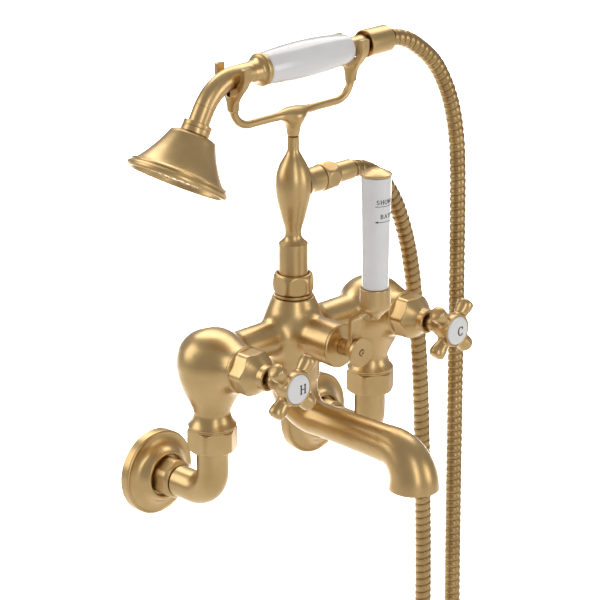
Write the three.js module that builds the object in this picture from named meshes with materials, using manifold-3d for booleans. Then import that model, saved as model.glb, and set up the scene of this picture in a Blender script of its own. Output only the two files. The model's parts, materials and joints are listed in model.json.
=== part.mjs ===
// Wall mounted bath and shower mixer with a hand shower on a cradle.
// Millimetres. +X runs along the wall, +Y runs into the wall, +Z is up.
// The origin lies on the wall, midway between the two inlets, at their height.

import * as THREE from 'three';
import { mergeVertices } from 'three/addons/utils/BufferGeometryUtils.js';
import Module from 'manifold-3d';

const wasm = await Module();
wasm.setup();

// ---- driving dimensions -------------------------------------------------------------------

const INLET_CENTRES = 180;      // distance between the two wall inlets
const PIPE_PROJECTION = 70;     // wall to the plane of the valves, hub and riser
const VALVE_HEIGHT = 115;       // inlets to the axis of the valves and cross tubes
const CLEARANCE = 0.3;          // gap left between pieces that meet
const ROUND = 14;               // sides of a turned piece
const SMALL_ROUND = 8;          // sides of a small or hidden turned piece
const TUBE_ROUND = 18;          // sides of the cross tubes and their sockets
const CORNER_ON_X = Math.PI / 6;   // turns a hexagon from a corner on its Y axis to one on X
const SIMPLIFY = 0.03;          // how far a corner may move when needless corners are dropped

const INLET_X = INLET_CENTRES / 2;

const FLANGE_RADIUS = 35;
const FLANGE_RIM_THICKNESS = 8.2;
const FLANGE_THICKNESS = 17.4;  // at the raised lip round the nut
const FLANGE_RECESS_RADIUS = 17.3;
const FLANGE_RECESS_FLOOR = 13.4;
const TAIL_RADIUS = 10.3;       // threaded tail that comes out of the wall
const TAIL_BORE = 7;
const TAIL_END = 43;
const WALL_NUT_RADIUS = 16.6;
const WALL_NUT_END = 31.5;

const PIPE_RADIUS = 12.8;       // elbow between wall and union
const PIPE_BORE = 8;
const ELBOW_START = 31.9;
const ELBOW_BEND = 21;
const ELBOW_TOP = 52;

const UNION_NUT_RADIUS = 20.4;
const UNION_NUT_BOTTOM = 39;
const UNION_NUT_TOP = 58;

const CROSS_TUBE_RADIUS = 13.9;
const CROSS_TUBE_BORE = 10.5;
const TUBE_OUTER_END = 70;      // distance from the middle plane, inside the valve body
const TUBE_INNER_END = 18.3;    // and inside the hub

const HEADWORK_FACE = 35.5;      // valve axis to the face that the headwork screws onto
const VALVE_BOSS_RADIUS = 18.3;
const HEADWORK_HEX_RADIUS = 18.6;
const HEADWORK_END = 64.8;      // valve axis to the mouth of the headwork's collar
const STEM_RADIUS = 5.4;
const SPOKE_PLANE = 88.5;       // valve axis to the plane of the four spokes
const INDEX_FACE = 95.3;        // valve axis to the face of the index button
const SPOKE_REACH = 27.4;

const SPIGOT_RADIUS = 17.9;     // diverter barrel on the hub, at its open end
const SPIGOT_END = 51.8;
const BONNET_END = 54.6;        // face of the bonnet that closes it
const LEVER_STRAP_WIDTH = 12;
const LEVER_STRAP_THICKNESS = 3.4;
const LEVER_DISC_FACE = 75.3;
const LEVER_GRIP_PROJECTION = 89;   // hub axis to the axis of the lever's grip
const LEVER_CUP_BOTTOM = 157.4;
const LEVER_CUP_TOP = 172.6;
const LEVER_GRIP_TOP = 262.4;

const FOOT_HEIGHT = 80;         // where the hub begins to turn into the spout
const FOOT_STRAIGHT = 5;
const SPOUT_START = 27.3;       // hub axis to the joint between hub and spout
const SPOUT_REACH = 132;        // hub axis to the middle of the mouth
const SPOUT_BEND = 25;
const SPOUT_BORE = 9.5;
const SPOUT_MOUTH_HEIGHT = 18;
const SPOUT_MOUTH_STRAIGHT = 4;
const SPOUT_MOUTH_RADIUS = 20;

const RISER_BOTTOM = 130;
const RISER_TOP = 275.3;
const OUTLET_HEIGHT = 235;      // hose outlet on the riser
const OUTLET_SHOULDER = 28.8;   // riser axis to the face the hose nut stops against
const OUTLET_END = 38;

const CRADLE_BAR_HEIGHT = 294.3;
const CRADLE_HALF_SPAN = 64.5;  // middle plane to each fork
const FORK_CENTRE = 338;
const FORK_INNER = 12.4;
const FORK_THICKNESS = 4.2;
const FORK_WIDTH = 7.4;
const FORK_TIP = 343.5;
const WEB_THICKNESS = 6;        // web that joins each fork to the bar

const HANDSET_HEIGHT = 335;     // axis of the handset as it lies in the cradle
const NECK_RADIUS = 8.3;
const HEAD_TILT = 30;           // degrees between the head's axis and straight down
const GOOSENECK_BEND = 41;
const HEAD_RADIUS = 40.1;

const HOSE_DIAMETER = 14;
const HOSE_BORE_RADIUS = 6.2;
const HOSE_SECTION_SIDES = 8;
const HOSE_STEPS = 48;

// ---- materials ----------------------------------------------------------------------------

const finish = (color, roughness, metalness) =>
  new THREE.MeshStandardMaterial({ color, roughness, metalness });
const BRASS = () => finish(0xb8935a, 0.32, 1);
const HOSE_BRASS = () => finish(0xa8834a, 0.38, 1);
const CERAMIC = () => finish(0xf1efec, 0.12, 0);
const CARTRIDGE = () => finish(0xd9d9d4, 0.5, 0);
const RUBBER = () => finish(0x202020, 0.8, 0);
const STEEL = () => finish(0x9a9a98, 0.35, 1);

// ---- closed shapes ------------------------------------------------------------------------

const UP = new THREE.Vector3(0, 0, 1);

// Welds the corners, drops slivers and turns every face outwards.
function closed(geometry) {
  geometry.deleteAttribute('normal');
  geometry.deleteAttribute('uv');
  const welded = mergeVertices(geometry, 1e-4);
  const position = welded.attributes.position;
  const old = welded.index.array;
  const kept = [];
  const [a, b, c] = [new THREE.Vector3(), new THREE.Vector3(), new THREE.Vector3()];
  let volume = 0;
  for (let i = 0; i < old.length; i += 3) {
    const [p, q, r] = [old[i], old[i + 1], old[i + 2]];
    if (p === q || q === r || r === p) continue;
    a.fromBufferAttribute(position, p);
    b.fromBufferAttribute(position, q);
    c.fromBufferAttribute(position, r);
    volume += a.dot(b.clone().cross(c));
    kept.push(p, q, r);
  }
  if (volume < 0) {
    for (let i = 0; i < kept.length; i += 3) [kept[i], kept[i + 1]] = [kept[i + 1], kept[i]];
  }
  welded.setIndex(kept);
  return welded;
}

function solid(geometry) {
  const shape = closed(geometry);
  return new wasm.Manifold(new wasm.Mesh({
    numProp: 3,
    vertProperties: new Float32Array(shape.attributes.position.array),
    triVerts: new Uint32Array(shape.index.array),
  }));
}

function geometryOf(manifold) {
  const mesh = manifold.getMesh();
  const geometry = new THREE.BufferGeometry();
  geometry.setAttribute('position', new THREE.BufferAttribute(mesh.vertProperties, 3));
  geometry.setIndex(new THREE.BufferAttribute(mesh.triVerts, 1));
  return geometry;
}

const joined = (...parts) => parts.reduce((whole, part) => whole.add(part));
const cut = (body, ...tools) => tools.reduce((rest, tool) => rest.subtract(tool), body);

// A turned solid about +Z from [radius, height] points; it closes onto the axis at both ends.
function turned(profile, sides = ROUND) {
  const outline = profile.map(([radius, height]) => new THREE.Vector2(radius, height));
  if (profile[0][0] > 0) outline.unshift(new THREE.Vector2(0, profile[0][1]));
  const last = profile[profile.length - 1];
  if (last[0] > 0) outline.push(new THREE.Vector2(0, last[1]));
  return solid(new THREE.LatheGeometry(outline, sides).rotateX(Math.PI / 2));
}

const rod = (radius, from, to, sides = ROUND) => turned([[radius, from], [radius, to]], sides);
const pierced = (body, radius, from, to) => cut(body, rod(radius, from - 1, to + 1, SMALL_ROUND));
const ring = (inner, outer, from, to, sides = ROUND) => cut(
  rod(outer, from, to, sides), rod(inner, from - 1, to + 1, sides));

// A hexagonal bar about +Z with its ends chamfered; a corner points along the start angle.
function hexagon(cornerRadius, from, to, startAngle = 0) {
  const length = to - from;
  const bar = new THREE.CylinderGeometry(cornerRadius, cornerRadius, length, 6, 1, false);
  bar.rotateX(Math.PI / 2).rotateZ(startAngle).translate(0, 0, (from + to) / 2);
  const shoulder = cornerRadius * 0.93;
  const chamfer = cornerRadius * 0.05;
  return solid(bar).intersect(turned([
    [shoulder, from], [cornerRadius + 0.1, from + chamfer],
    [cornerRadius + 0.1, to - chamfer], [shoulder, to],
  ], 24));
}

// A tube of changing radius through stations { at, along, radius } in a plane square to across.
function tapered(stations, across, sides) {
  const points = [];
  for (const { at, along, radius } of stations) {
    const out = new THREE.Vector3().crossVectors(along, across).normalize();
    for (let i = 0; i < sides; i += 1) {
      const angle = (2 * Math.PI * i) / sides;
      const corner = at.clone().addScaledVector(across, radius * Math.cos(angle));
      points.push(...corner.addScaledVector(out, radius * Math.sin(angle)).toArray());
    }
  }
  const faces = [];
  for (let ringIndex = 0; ringIndex < stations.length - 1; ringIndex += 1) {
    for (let i = 0; i < sides; i += 1) {
      const a = ringIndex * sides + i;
      const b = ringIndex * sides + ((i + 1) % sides);
      faces.push(a, b, b + sides, a, b + sides, a + sides);
    }
  }
  const end = (stations.length - 1) * sides;
  for (let i = 1; i < sides - 1; i += 1) {
    faces.push(0, i + 1, i, end, end + i, end + i + 1);
  }
  const geometry = new THREE.BufferGeometry();
  geometry.setAttribute('position', new THREE.Float32BufferAttribute(points, 3));
  geometry.setIndex(faces);
  return solid(geometry);
}

// A path in one plane, made of straights and arcs, as stations for a tapered tube.
class PlanePath {
  constructor(start, heading, across) {
    this.at = start.clone();
    this.heading = heading.clone().normalize();
    this.across = across;
    this.stations = [];
    this.mark();
  }

  mark() {
    this.stations.push({ at: this.at.clone(), along: this.heading.clone() });
    return this;
  }

  straight(length) {
    this.at.addScaledVector(this.heading, length);
    return this.mark();
  }

  bend(radius, degrees, steps) {
    const sweep = THREE.MathUtils.degToRad(degrees);
    const toCentre = new THREE.Vector3().crossVectors(this.across, this.heading);
    toCentre.multiplyScalar(Math.sign(degrees) * radius);
    const centre = this.at.clone().add(toCentre);
    const arm = toCentre.negate();
    const heading = this.heading.clone();
    for (let i = 1; i <= steps; i += 1) {
      const angle = (sweep * i) / steps;
      this.at = centre.clone().add(arm.clone().applyAxisAngle(this.across, angle));
      this.heading = heading.clone().applyAxisAngle(this.across, angle);
      this.mark();
    }
    return this;
  }

  tube(radius, sides = 14) {
    const radii = Array.isArray(radius) ? radius : this.stations.map(() => radius);
    const stations = this.stations.map((station, i) => ({ ...station, radius: radii[i] }));
    return tapered(stations, this.across, sides);
  }
}

// ---- assembly -----------------------------------------------------------------------------

const faucet = new THREE.Group();

function piece(parent, name, body, material) {
  const mesh = new THREE.Mesh(closed(geometryOf(body.simplify(SIMPLIFY))), material);
  mesh.name = name;
  parent.add(mesh);
  return mesh;
}

// A group whose own +Z points along the named direction.
function place(x, y, z, direction = 'up') {
  const group = new THREE.Group();
  group.position.set(x, y, z);
  if (direction === 'room') group.rotation.x = Math.PI / 2;
  if (direction === 'right') group.rotation.y = Math.PI / 2;
  faucet.add(group);
  return group;
}

// Turns a solid built about +Z so that it lies along the given direction.
function along(direction, body) {
  const turn = new THREE.Quaternion().setFromUnitVectors(UP, direction.clone().normalize());
  return body.transform(new THREE.Matrix4().makeRotationFromQuaternion(turn).toArray());
}

const RIGHTWARD = new THREE.Vector3(1, 0, 0);
const LEFTWARD = new THREE.Vector3(-1, 0, 0);
const ROOMWARD = new THREE.Vector3(0, -1, 0);

// ---- wall connections ---------------------------------------------------------------------

function wallFlange() {
  const plate = turned([
    [FLANGE_RADIUS, 0], [FLANGE_RADIUS, 6.4], [FLANGE_RADIUS - 1.2, 7.9],
    [FLANGE_RADIUS - 2.6, FLANGE_RIM_THICKNESS], [29.5, 8.3], [25.8, 9.8], [22.8, 12.6],
    [20.8, 15.9], [19.8, FLANGE_THICKNESS],
  ], 18);
  return cut(
    plate,
    rod(TAIL_RADIUS + 0.5, -1, FLANGE_THICKNESS + 1),
    rod(FLANGE_RECESS_RADIUS, FLANGE_RECESS_FLOOR, FLANGE_THICKNESS + 1),
  );
}

function wallNut() {
  return cut(
    hexagon(WALL_NUT_RADIUS, FLANGE_RECESS_FLOOR + CLEARANCE, WALL_NUT_END, 0),
    rod(TAIL_RADIUS + 0.4, FLANGE_RECESS_FLOOR, WALL_NUT_END + 1),
  );
}

function elbow() {
  const path = new PlanePath(
    new THREE.Vector3(0, -ELBOW_START, 0), ROOMWARD, RIGHTWARD);
  path.straight(PIPE_PROJECTION - ELBOW_START - ELBOW_BEND);
  path.bend(ELBOW_BEND, -90, 5);
  path.straight(ELBOW_TOP - ELBOW_BEND);
  const bore = new PlanePath(new THREE.Vector3(0, 0, 0), ROOMWARD, RIGHTWARD);
  bore.straight(PIPE_PROJECTION - ELBOW_BEND).bend(ELBOW_BEND, -90, 5).straight(60);
  const socket = along(ROOMWARD, rod(TAIL_RADIUS + 0.4, 0, TAIL_END + CLEARANCE));
  const collar = rod(15.4, 48.2, ELBOW_TOP).translate([0, -PIPE_PROJECTION, 0]);
  return cut(joined(path.tube(PIPE_RADIUS, 12), collar), bore.tube(PIPE_BORE, 8), socket);
}

function unionNut() {
  return cut(
    hexagon(UNION_NUT_RADIUS, UNION_NUT_BOTTOM, UNION_NUT_TOP, 0),
    rod(PIPE_RADIUS + 0.4, 30, 60),
    rod(16, 47.8, 60),
  );
}

function wallConnection(side, x) {
  const wall = place(x, 0, 0, 'room');
  piece(wall, `wall_flange_${side}`, wallFlange(), BRASS());
  piece(wall, `inlet_tail_${side}`, ring(TAIL_BORE, TAIL_RADIUS, 0.6, TAIL_END, 12), BRASS());
  piece(wall, `wall_nut_${side}`, wallNut(), BRASS());
  piece(place(x, 0, 0), `elbow_${side}`, elbow(), BRASS());
  const union = place(x, -PIPE_PROJECTION, 0);
  piece(union, `union_washer_${side}`, ring(8.5, 15.2, 52.3, 54.2, 12), RUBBER());
  piece(union, `union_nut_${side}`, unionNut(), BRASS());
}

// ---- valve bodies, tubes and hub ----------------------------------------------------------

const tubeSocket = (start) => rod(CROSS_TUBE_RADIUS + CLEARANCE, start - CLEARANCE, 40, TUBE_ROUND);

// inward is +1 where the cross tube leaves towards +X and -1 where it leaves towards -X.
function valveBody(inward) {
  const bulb = turned([
    [15.6, 54.5], [15.6, 58.3], [18.2, 58.4], [18.2, 60], [15.4, 63.4], [14.6, 68.8],
    [16.7, 75.6], [21.6, 87], [26, 99.5], [27.8, 110], [26.9, 119], [23.2, 127.4],
    [16.2, 133.8], [8, 137.2], [0, 138],
  ]);
  const boss = along(ROOMWARD, rod(VALVE_BOSS_RADIUS, 0, HEADWORK_FACE));
  const pocket = along(ROOMWARD, rod(13, -10, HEADWORK_FACE + 1));
  const sideways = new THREE.Vector3(inward, 0, 0);
  const port = along(sideways, rod(CROSS_TUBE_BORE, 0, 40, SMALL_ROUND));
  const socket = along(sideways, tubeSocket(INLET_X - TUBE_OUTER_END));
  const inlet = rod(PIPE_BORE, 50, VALVE_HEIGHT, SMALL_ROUND);
  const atAxis = (body) => body.translate([0, 0, VALVE_HEIGHT]);
  return cut(
    joined(bulb, atAxis(boss)), atAxis(pocket), atAxis(port), atAxis(socket), inlet);
}

function hubBody() {
  const cone = turned([
    [14, 66], [19.6, 72], [20.6, 82], [23, 95], [25.4, 107], [26, 115], [25.2, 122],
    [22.8, 130], [19.9, 137.2], [16.8, 143.8], [15.6, 144.2], [15.6, 147],
  ], 16);
  const down = new THREE.Vector3(0, 0, -1);
  const foot = new PlanePath(new THREE.Vector3(0, 0, FOOT_HEIGHT), down, RIGHTWARD);
  foot.straight(FOOT_STRAIGHT).bend(SPOUT_START, -90, 6);
  const elbowOut = foot.tube([20, 19.8, 19.2, 18.2, 17, 15.8, 14.9, 14.2], 14);
  const barrel = along(ROOMWARD, turned([[16.6, 0], [17, 24], [SPIGOT_RADIUS, SPIGOT_END]]));
  const boreTop = FOOT_HEIGHT + 24;
  const bore = new PlanePath(new THREE.Vector3(0, 0, boreTop), down, RIGHTWARD);
  bore.straight(24 + FOOT_STRAIGHT).bend(SPOUT_START, -90, 5).straight(3);
  const atAxis = (body) => body.translate([0, 0, VALVE_HEIGHT]);
  return cut(
    joined(cone, elbowOut, atAxis(barrel)),
    bore.tube(SPOUT_BORE, 10),
    rod(12.2, boreTop, 148),
    atAxis(along(ROOMWARD, rod(13, -14, SPIGOT_END + 1, 16))),
    atAxis(along(RIGHTWARD, rod(CROSS_TUBE_BORE, -40, 40, SMALL_ROUND))),
    atAxis(along(RIGHTWARD, tubeSocket(TUBE_INNER_END))),
    atAxis(along(LEFTWARD, tubeSocket(TUBE_INNER_END))),
  );
}

function spoutPath(start) {
  const height = FOOT_HEIGHT - FOOT_STRAIGHT - SPOUT_START;
  return new PlanePath(new THREE.Vector3(0, -start, height), ROOMWARD, RIGHTWARD);
}

function spout() {
  const start = SPOUT_START + CLEARANCE;
  const run = SPOUT_REACH - SPOUT_BEND - start;
  const path = spoutPath(start);
  path.straight(run * 0.35).straight(run * 0.35).straight(run * 0.3);
  path.bend(SPOUT_BEND, 90, 6).straight(SPOUT_MOUTH_STRAIGHT);
  const outer = path.tube(
    [14.2, 14.6, 15.4, 16.6, 17.1, 17.7, 18.3, 19, 19.6, 19.9, SPOUT_MOUTH_RADIUS], 14);
  const inner = spoutPath(start - 1);
  inner.straight(run + 1).bend(SPOUT_BEND, 90, 5).straight(SPOUT_MOUTH_STRAIGHT + 1);
  const mouth = rod(16.2, SPOUT_MOUTH_HEIGHT - 1, SPOUT_MOUTH_HEIGHT + 7);
  return cut(outer, inner.tube(SPOUT_BORE, 10), mouth.translate([0, -SPOUT_REACH, 0]));
}

function flowStraightener() {
  const disc = rod(15.9, SPOUT_MOUTH_HEIGHT + 1.5, SPOUT_MOUTH_HEIGHT + 6);
  const hole = rod(3.2, SPOUT_MOUTH_HEIGHT, SPOUT_MOUTH_HEIGHT + 8, 6);
  const holes = [hole];
  for (let i = 0; i < 6; i += 1) {
    const angle = (Math.PI * i) / 3;
    holes.push(hole.translate([9 * Math.cos(angle), 9 * Math.sin(angle), 0]));
  }
  return cut(disc, ...holes);
}

// ---- headworks and cross handles (built along +Z, towards the room) ------------------------

function headwork() {
  const shell = joined(
    hexagon(HEADWORK_HEX_RADIUS, 37.7, 51.4, CORNER_ON_X),
    turned([
      [12.6, 21], [12.6, 38.6], [16.2, 51.3], [15.2, 53.4], [10.6, 58.2], [9.9, 59.2],
      [9.9, HEADWORK_END - 0.4], [9.5, HEADWORK_END],
    ]),
  );
  return cut(
    shell,
    rod(9.9, 20, 30),
    rod(STEM_RADIUS + 0.5, 29, HEADWORK_END + 1, 14),
    rod(7.6, HEADWORK_END - 4, HEADWORK_END + 1, 16),
  );
}

function cartridge() {
  return pierced(rod(9.6, -4, 29, SMALL_ROUND), 3.5, -4, 29);
}

function spindle() {
  const shaft = joined(
    rod(3.1, -2, 31, 8),
    rod(STEM_RADIUS, 30.2, 80, 14),
    rod(4, 79, 86.4, 8),
  );
  return cut(shaft, rod(2.1, 74, 87, 6));
}

function crossHandle() {
  const bell = turned([
    [6.8, 68.4], [8.2, 75], [11.2, 82], [13.2, 89.5], [13.4, 94],
    [12.9, INDEX_FACE],
  ]);
  const spoke = turned([
    [4.8, 6], [4.9, 12], [6.5, 19.6], [5.9, 24.6], [0, SPOKE_REACH],
  ], 8);
  const spokes = [45, 135, 225, 315].map((degrees) => {
    const angle = THREE.MathUtils.degToRad(degrees);
    const direction = new THREE.Vector3(Math.cos(angle), Math.sin(angle), 0);
    return along(direction, spoke).translate([0, 0, SPOKE_PLANE]);
  });
  return cut(
    joined(bell, ...spokes),
    rod(STEM_RADIUS + CLEARANCE, 67, 80.4, 14),
    rod(4.3, 80, 87, 8),
    rod(2.4, 86, 94, 8),
    rod(4.6, 88.6, 94, 12),
    rod(11.9, 93.4, 97),
  );
}

function handleScrew() {
  return joined(rod(1.8, 76, 89.5, 6), rod(4.2, 88.9, 91.6, 8));
}

function indexButton() {
  return turned([[11.6, 93.7], [11.6, 95.2], [10.9, 95.9], [0, 96.4]]);
}

function valveTrim(side, x) {
  const axis = place(x, -PIPE_PROJECTION, VALVE_HEIGHT, 'room');
  const washer = ring(13.2, 18.4, HEADWORK_FACE + 0.2, 37.5, 16);
  piece(axis, `headwork_washer_${side}`, washer, RUBBER());
  piece(axis, `headwork_${side}`, headwork(), BRASS());
  piece(axis, `cartridge_${side}`, cartridge(), CARTRIDGE());
  piece(axis, `spindle_${side}`, spindle(), BRASS());
  piece(axis, `handle_cross_${side}`, crossHandle(), BRASS());
  piece(axis, `handle_screw_${side}`, handleScrew(), STEEL());
  piece(axis, `index_button_${side}`, indexButton(), CERAMIC());
}

// ---- diverter and its lever ---------------------------------------------------------------

function diverterBonnet() {
  const shell = joined(
    rod(12.6, 34, SPIGOT_END + 1, 14),
    turned([
      [SPIGOT_RADIUS, SPIGOT_END + CLEARANCE], [SPIGOT_RADIUS, 53], [17.4, 53.5],
      [7.4, BONNET_END],
    ]),
  );
  return pierced(shell, 3.6, 34, BONNET_END);
}

function diverterPlug() {
  const plug = joined(rod(10.8, -13, 12, 14), rod(3.2, 11, 69, 8));
  const channel = along(UP, rod(5.5, -20, 20, 10));
  const crossing = channel.rotate([90, 0, 0]);
  return cut(plug, crossing, rod(1.4, 60, 70, 6));
}

// A flat bar with its width across the plane of the path.
function flatBar(stations, width, thickness) {
  const points = [];
  const faces = [];
  for (const { at, along: heading } of stations) {
    const out = new THREE.Vector3().crossVectors(heading, RIGHTWARD).normalize();
    for (const [side, face] of [[1, 1], [-1, 1], [-1, -1], [1, -1]]) {
      const corner = at.clone().addScaledVector(RIGHTWARD, (side * width) / 2);
      points.push(...corner.addScaledVector(out, (face * thickness) / 2).toArray());
    }
  }
  for (let k = 0; k < stations.length - 1; k += 1) {
    for (let i = 0; i < 4; i += 1) {
      const a = k * 4 + i;
      const b = k * 4 + ((i + 1) % 4);
      faces.push(a, b, b + 4, a, b + 4, a + 4);
    }
  }
  const end = (stations.length - 1) * 4;
  faces.push(0, 2, 1, 0, 3, 2, end, end + 1, end + 2, end, end + 2, end + 3);
  const geometry = new THREE.BufferGeometry();
  geometry.setAttribute('position', new THREE.Float32BufferAttribute(points, 3));
  geometry.setIndex(faces);
  return solid(geometry);
}

function leverArm() {
  const hub = turned([
    [7, BONNET_END + CLEARANCE], [6.5, 57], [6.5, 71.6], [11.4, 72], [11.9, 72.6], [11.9, 74.7],
    [11.3, LEVER_DISC_FACE],
  ]);
  const path = new PlanePath(new THREE.Vector3(0, 2, 67.8), new THREE.Vector3(0, 1, 0), RIGHTWARD);
  path.straight(22).bend(7, 54, 4).straight(13);
  const strap = flatBar(path.stations, LEVER_STRAP_WIDTH, LEVER_STRAP_THICKNESS);
  const atGrip = (body) => body.rotate([-90, 0, 0]).translate([0, 0, LEVER_GRIP_PROJECTION]);
  const cup = turned([
    [4, 33.4], [7.5, 37], [11.2, 41], [11.9, 42.6], [11.9, LEVER_CUP_TOP - VALVE_HEIGHT],
  ]);
  return cut(
    joined(hub, strap, atGrip(cup)),
    rod(3.5, 54, 69.4, 10),
    rod(1.9, 68, 76, 8),
    rod(3.5, 72.4, 76, 10),
    atGrip(rod(3.3, 43, 60, 10)),
  );
}

function diverter() {
  const axis = place(0, -PIPE_PROJECTION, VALVE_HEIGHT, 'room');
  piece(axis, 'diverter_bonnet', diverterBonnet(), BRASS());
  piece(axis, 'diverter_plug', diverterPlug(), BRASS());
  piece(axis, 'lever_arm', leverArm(), BRASS());
  piece(axis, 'lever_screw', joined(rod(1.2, 62, 73.5, 6), rod(3, 72.7, 74.6, 6)), STEEL());
  const grip = place(0, -PIPE_PROJECTION - LEVER_GRIP_PROJECTION, 0);
  const gripBody = turned([
    [10.1, LEVER_CUP_TOP + CLEARANCE], [10.4, 174], [11, 215], [11.7, 258],
    [11.4, LEVER_GRIP_TOP],
  ]);
  piece(grip, 'lever_grip', pierced(gripBody, 3.4, 172, 263), CERAMIC());
  piece(grip, 'lever_rod', rod(3, 158.4, 265.2, 8), STEEL());
  const cap = turned([
    [11.8, LEVER_GRIP_TOP + CLEARANCE], [12, 264.2], [8.6, 266.4], [4.6, 268.2], [0, 268.7],
  ]);
  piece(grip, 'lever_cap', cut(cap, rod(3.3, 262, 265.5, 10)), BRASS());
}

// ---- riser, hose outlet and cradle --------------------------------------------------------

function riserCollar() {
  return cut(hexagon(17.4, 147.3, 163.5, 0), rod(12.2, 146, 165));
}

function riser() {
  const column = turned([
    [11.3, RISER_BOTTOM], [11.3, 132.6], [9.4, 132.8], [9.4, 136.2], [11.3, 136.4], [11.3, 145.8],
    [11.7, 146.4], [11.7, 187.8], [11.2, 188.6], [9.1, 190.2], [7.6, 192], [6.7, 195], [6.9, 199],
    [8.7, 205.4], [10.9, 214.4], [13.5, 225], [14.4, 235], [14.1, 241], [12.6, 247.8], [8.9, 256],
    [6, 260], [4.8, 264],
    [4.7, RISER_TOP],
  ]);
  const spigot = along(RIGHTWARD, joined(rod(10.1, 4, OUTLET_SHOULDER), rod(7.4, 28, OUTLET_END, 14)));
  const sideBore = along(RIGHTWARD, rod(4.4, 0, OUTLET_END + 1, 10));
  return cut(
    joined(column, spigot.translate([0, 0, OUTLET_HEIGHT])),
    rod(4.4, RISER_BOTTOM - 1, OUTLET_HEIGHT, 10),
    sideBore.translate([0, 0, OUTLET_HEIGHT]),
  );
}

function fork() {
  const outer = FORK_INNER + FORK_THICKNESS;
  const straight = FORK_TIP - FORK_CENTRE;
  const shape = new THREE.Shape();
  shape.moveTo(-outer, straight);
  shape.lineTo(-outer, 0);
  shape.absarc(0, 0, outer, Math.PI, 2 * Math.PI, false);
  shape.lineTo(outer, straight);
  shape.lineTo(FORK_INNER, straight);
  shape.lineTo(FORK_INNER, 0);
  shape.absarc(0, 0, FORK_INNER, 2 * Math.PI, Math.PI, true);
  shape.lineTo(-FORK_INNER, straight);
  const strap = new THREE.ExtrudeGeometry(shape, {
    depth: FORK_WIDTH, bevelEnabled: false, curveSegments: 8,
  });
  strap.translate(0, 0, -FORK_WIDTH / 2);
  strap.rotateX(Math.PI / 2).rotateZ(Math.PI / 2);
  return solid(strap);
}

// Web between the underside of a fork and the end of the bar.
function forkWeb() {
  const shape = new THREE.Shape([
    [-11.5, -12.4], [-10.4, -18.2], [-7.4, -23.6], [-4.6, -28], [-3.1, -31],
    [3.1, -31], [4.6, -28], [7.4, -23.6], [10.4, -18.2], [11.5, -12.4],
  ].map(([side, height]) => new THREE.Vector2(side, height)));
  const web = new THREE.ExtrudeGeometry(shape, { depth: WEB_THICKNESS, bevelEnabled: false });
  web.translate(0, 0, -WEB_THICKNESS / 2);
  web.rotateX(Math.PI / 2).rotateZ(Math.PI / 2);
  const clear = along(RIGHTWARD, rod(FORK_INNER, -FORK_WIDTH, FORK_WIDTH, 16));
  return cut(solid(web), clear);
}

function cradle() {
  const boss = turned([
    [5.2, RISER_TOP + CLEARANCE], [5.5, 280], [6.8, 286], [8.6, 291], [8, 296], [5, 299.4],
    [0, 300.2],
  ], 16);
  const barBend = 17;
  const reach = CRADLE_HALF_SPAN - barBend;
  const bar = new PlanePath(
    new THREE.Vector3(-CRADLE_HALF_SPAN, 0, FORK_CENTRE - FORK_INNER - 2),
    new THREE.Vector3(0, 0, -1), new THREE.Vector3(0, -1, 0));
  const drop = bar.at.z - CRADLE_BAR_HEIGHT - barBend;
  bar.straight(drop).bend(barBend, 90, 5).straight(reach).straight(reach);
  bar.bend(barBend, 90, 5).straight(drop);
  const forkAt = (x) => joined(fork(), forkWeb()).translate([x, 0, FORK_CENTRE]);
  return joined(boss, bar.tube(3.2, 8), forkAt(-CRADLE_HALF_SPAN), forkAt(CRADLE_HALF_SPAN));
}

function outletFittings() {
  const axis = place(0, -PIPE_PROJECTION, OUTLET_HEIGHT, 'right');
  const nut = cut(
    hexagon(12, OUTLET_SHOULDER + CLEARANCE, 45.2, CORNER_ON_X),
    rod(7.8, 28, 41.9, 14),
    rod(6.7, 41, 46, SMALL_ROUND),
  );
  piece(axis, 'outlet_nut', nut, BRASS());
  piece(axis, 'outlet_washer', ring(4.4, 7.4, OUTLET_END + 0.2, 39.7, 10), RUBBER());
  const tail = turned([
    [7.4, 40], [7.4, 41.6], [6, 41.7], [6, 45.4], [7.9, 45.6], [8, 63.6], [7.6, 64.6],
  ], 14);
  piece(axis, 'hose_tail_outlet', pierced(tail, 4, 40, 65), BRASS());
}

function riserAssembly() {
  const axis = place(0, -PIPE_PROJECTION, 0);
  piece(axis, 'riser_collar', riserCollar(), BRASS());
  piece(axis, 'riser_seal', ring(9.7, 11.8, 133.2, 135.8, 16), RUBBER());
  piece(axis, 'riser', riser(), BRASS());
  piece(axis, 'cradle', cradle(), BRASS());
  outletFittings();
}

// ---- handset ------------------------------------------------------------------------------

const headTurn = THREE.MathUtils.degToRad(90 - HEAD_TILT);
const headAxis = new THREE.Vector3(-Math.cos(headTurn), 0, -Math.sin(headTurn));
const GOOSENECK_START = -47.8;
const GOOSENECK_STRAIGHT = 12;
const HEAD_DROP = 10;           // straight end of the gooseneck

function neckPath(before, after) {
  const start = new THREE.Vector3(GOOSENECK_START + before, 0, HANDSET_HEIGHT);
  const path = new PlanePath(start, new THREE.Vector3(-1, 0, 0), new THREE.Vector3(0, -1, 0));
  path.straight(GOOSENECK_STRAIGHT + before).bend(GOOSENECK_BEND, 90 - HEAD_TILT, 7);
  return path.straight(HEAD_DROP + after);
}

function gooseneck() {
  return cut(neckPath(0, 0).tube(NECK_RADIUS, 14), neckPath(1, 1).tube(5.2, 8));
}

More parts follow.
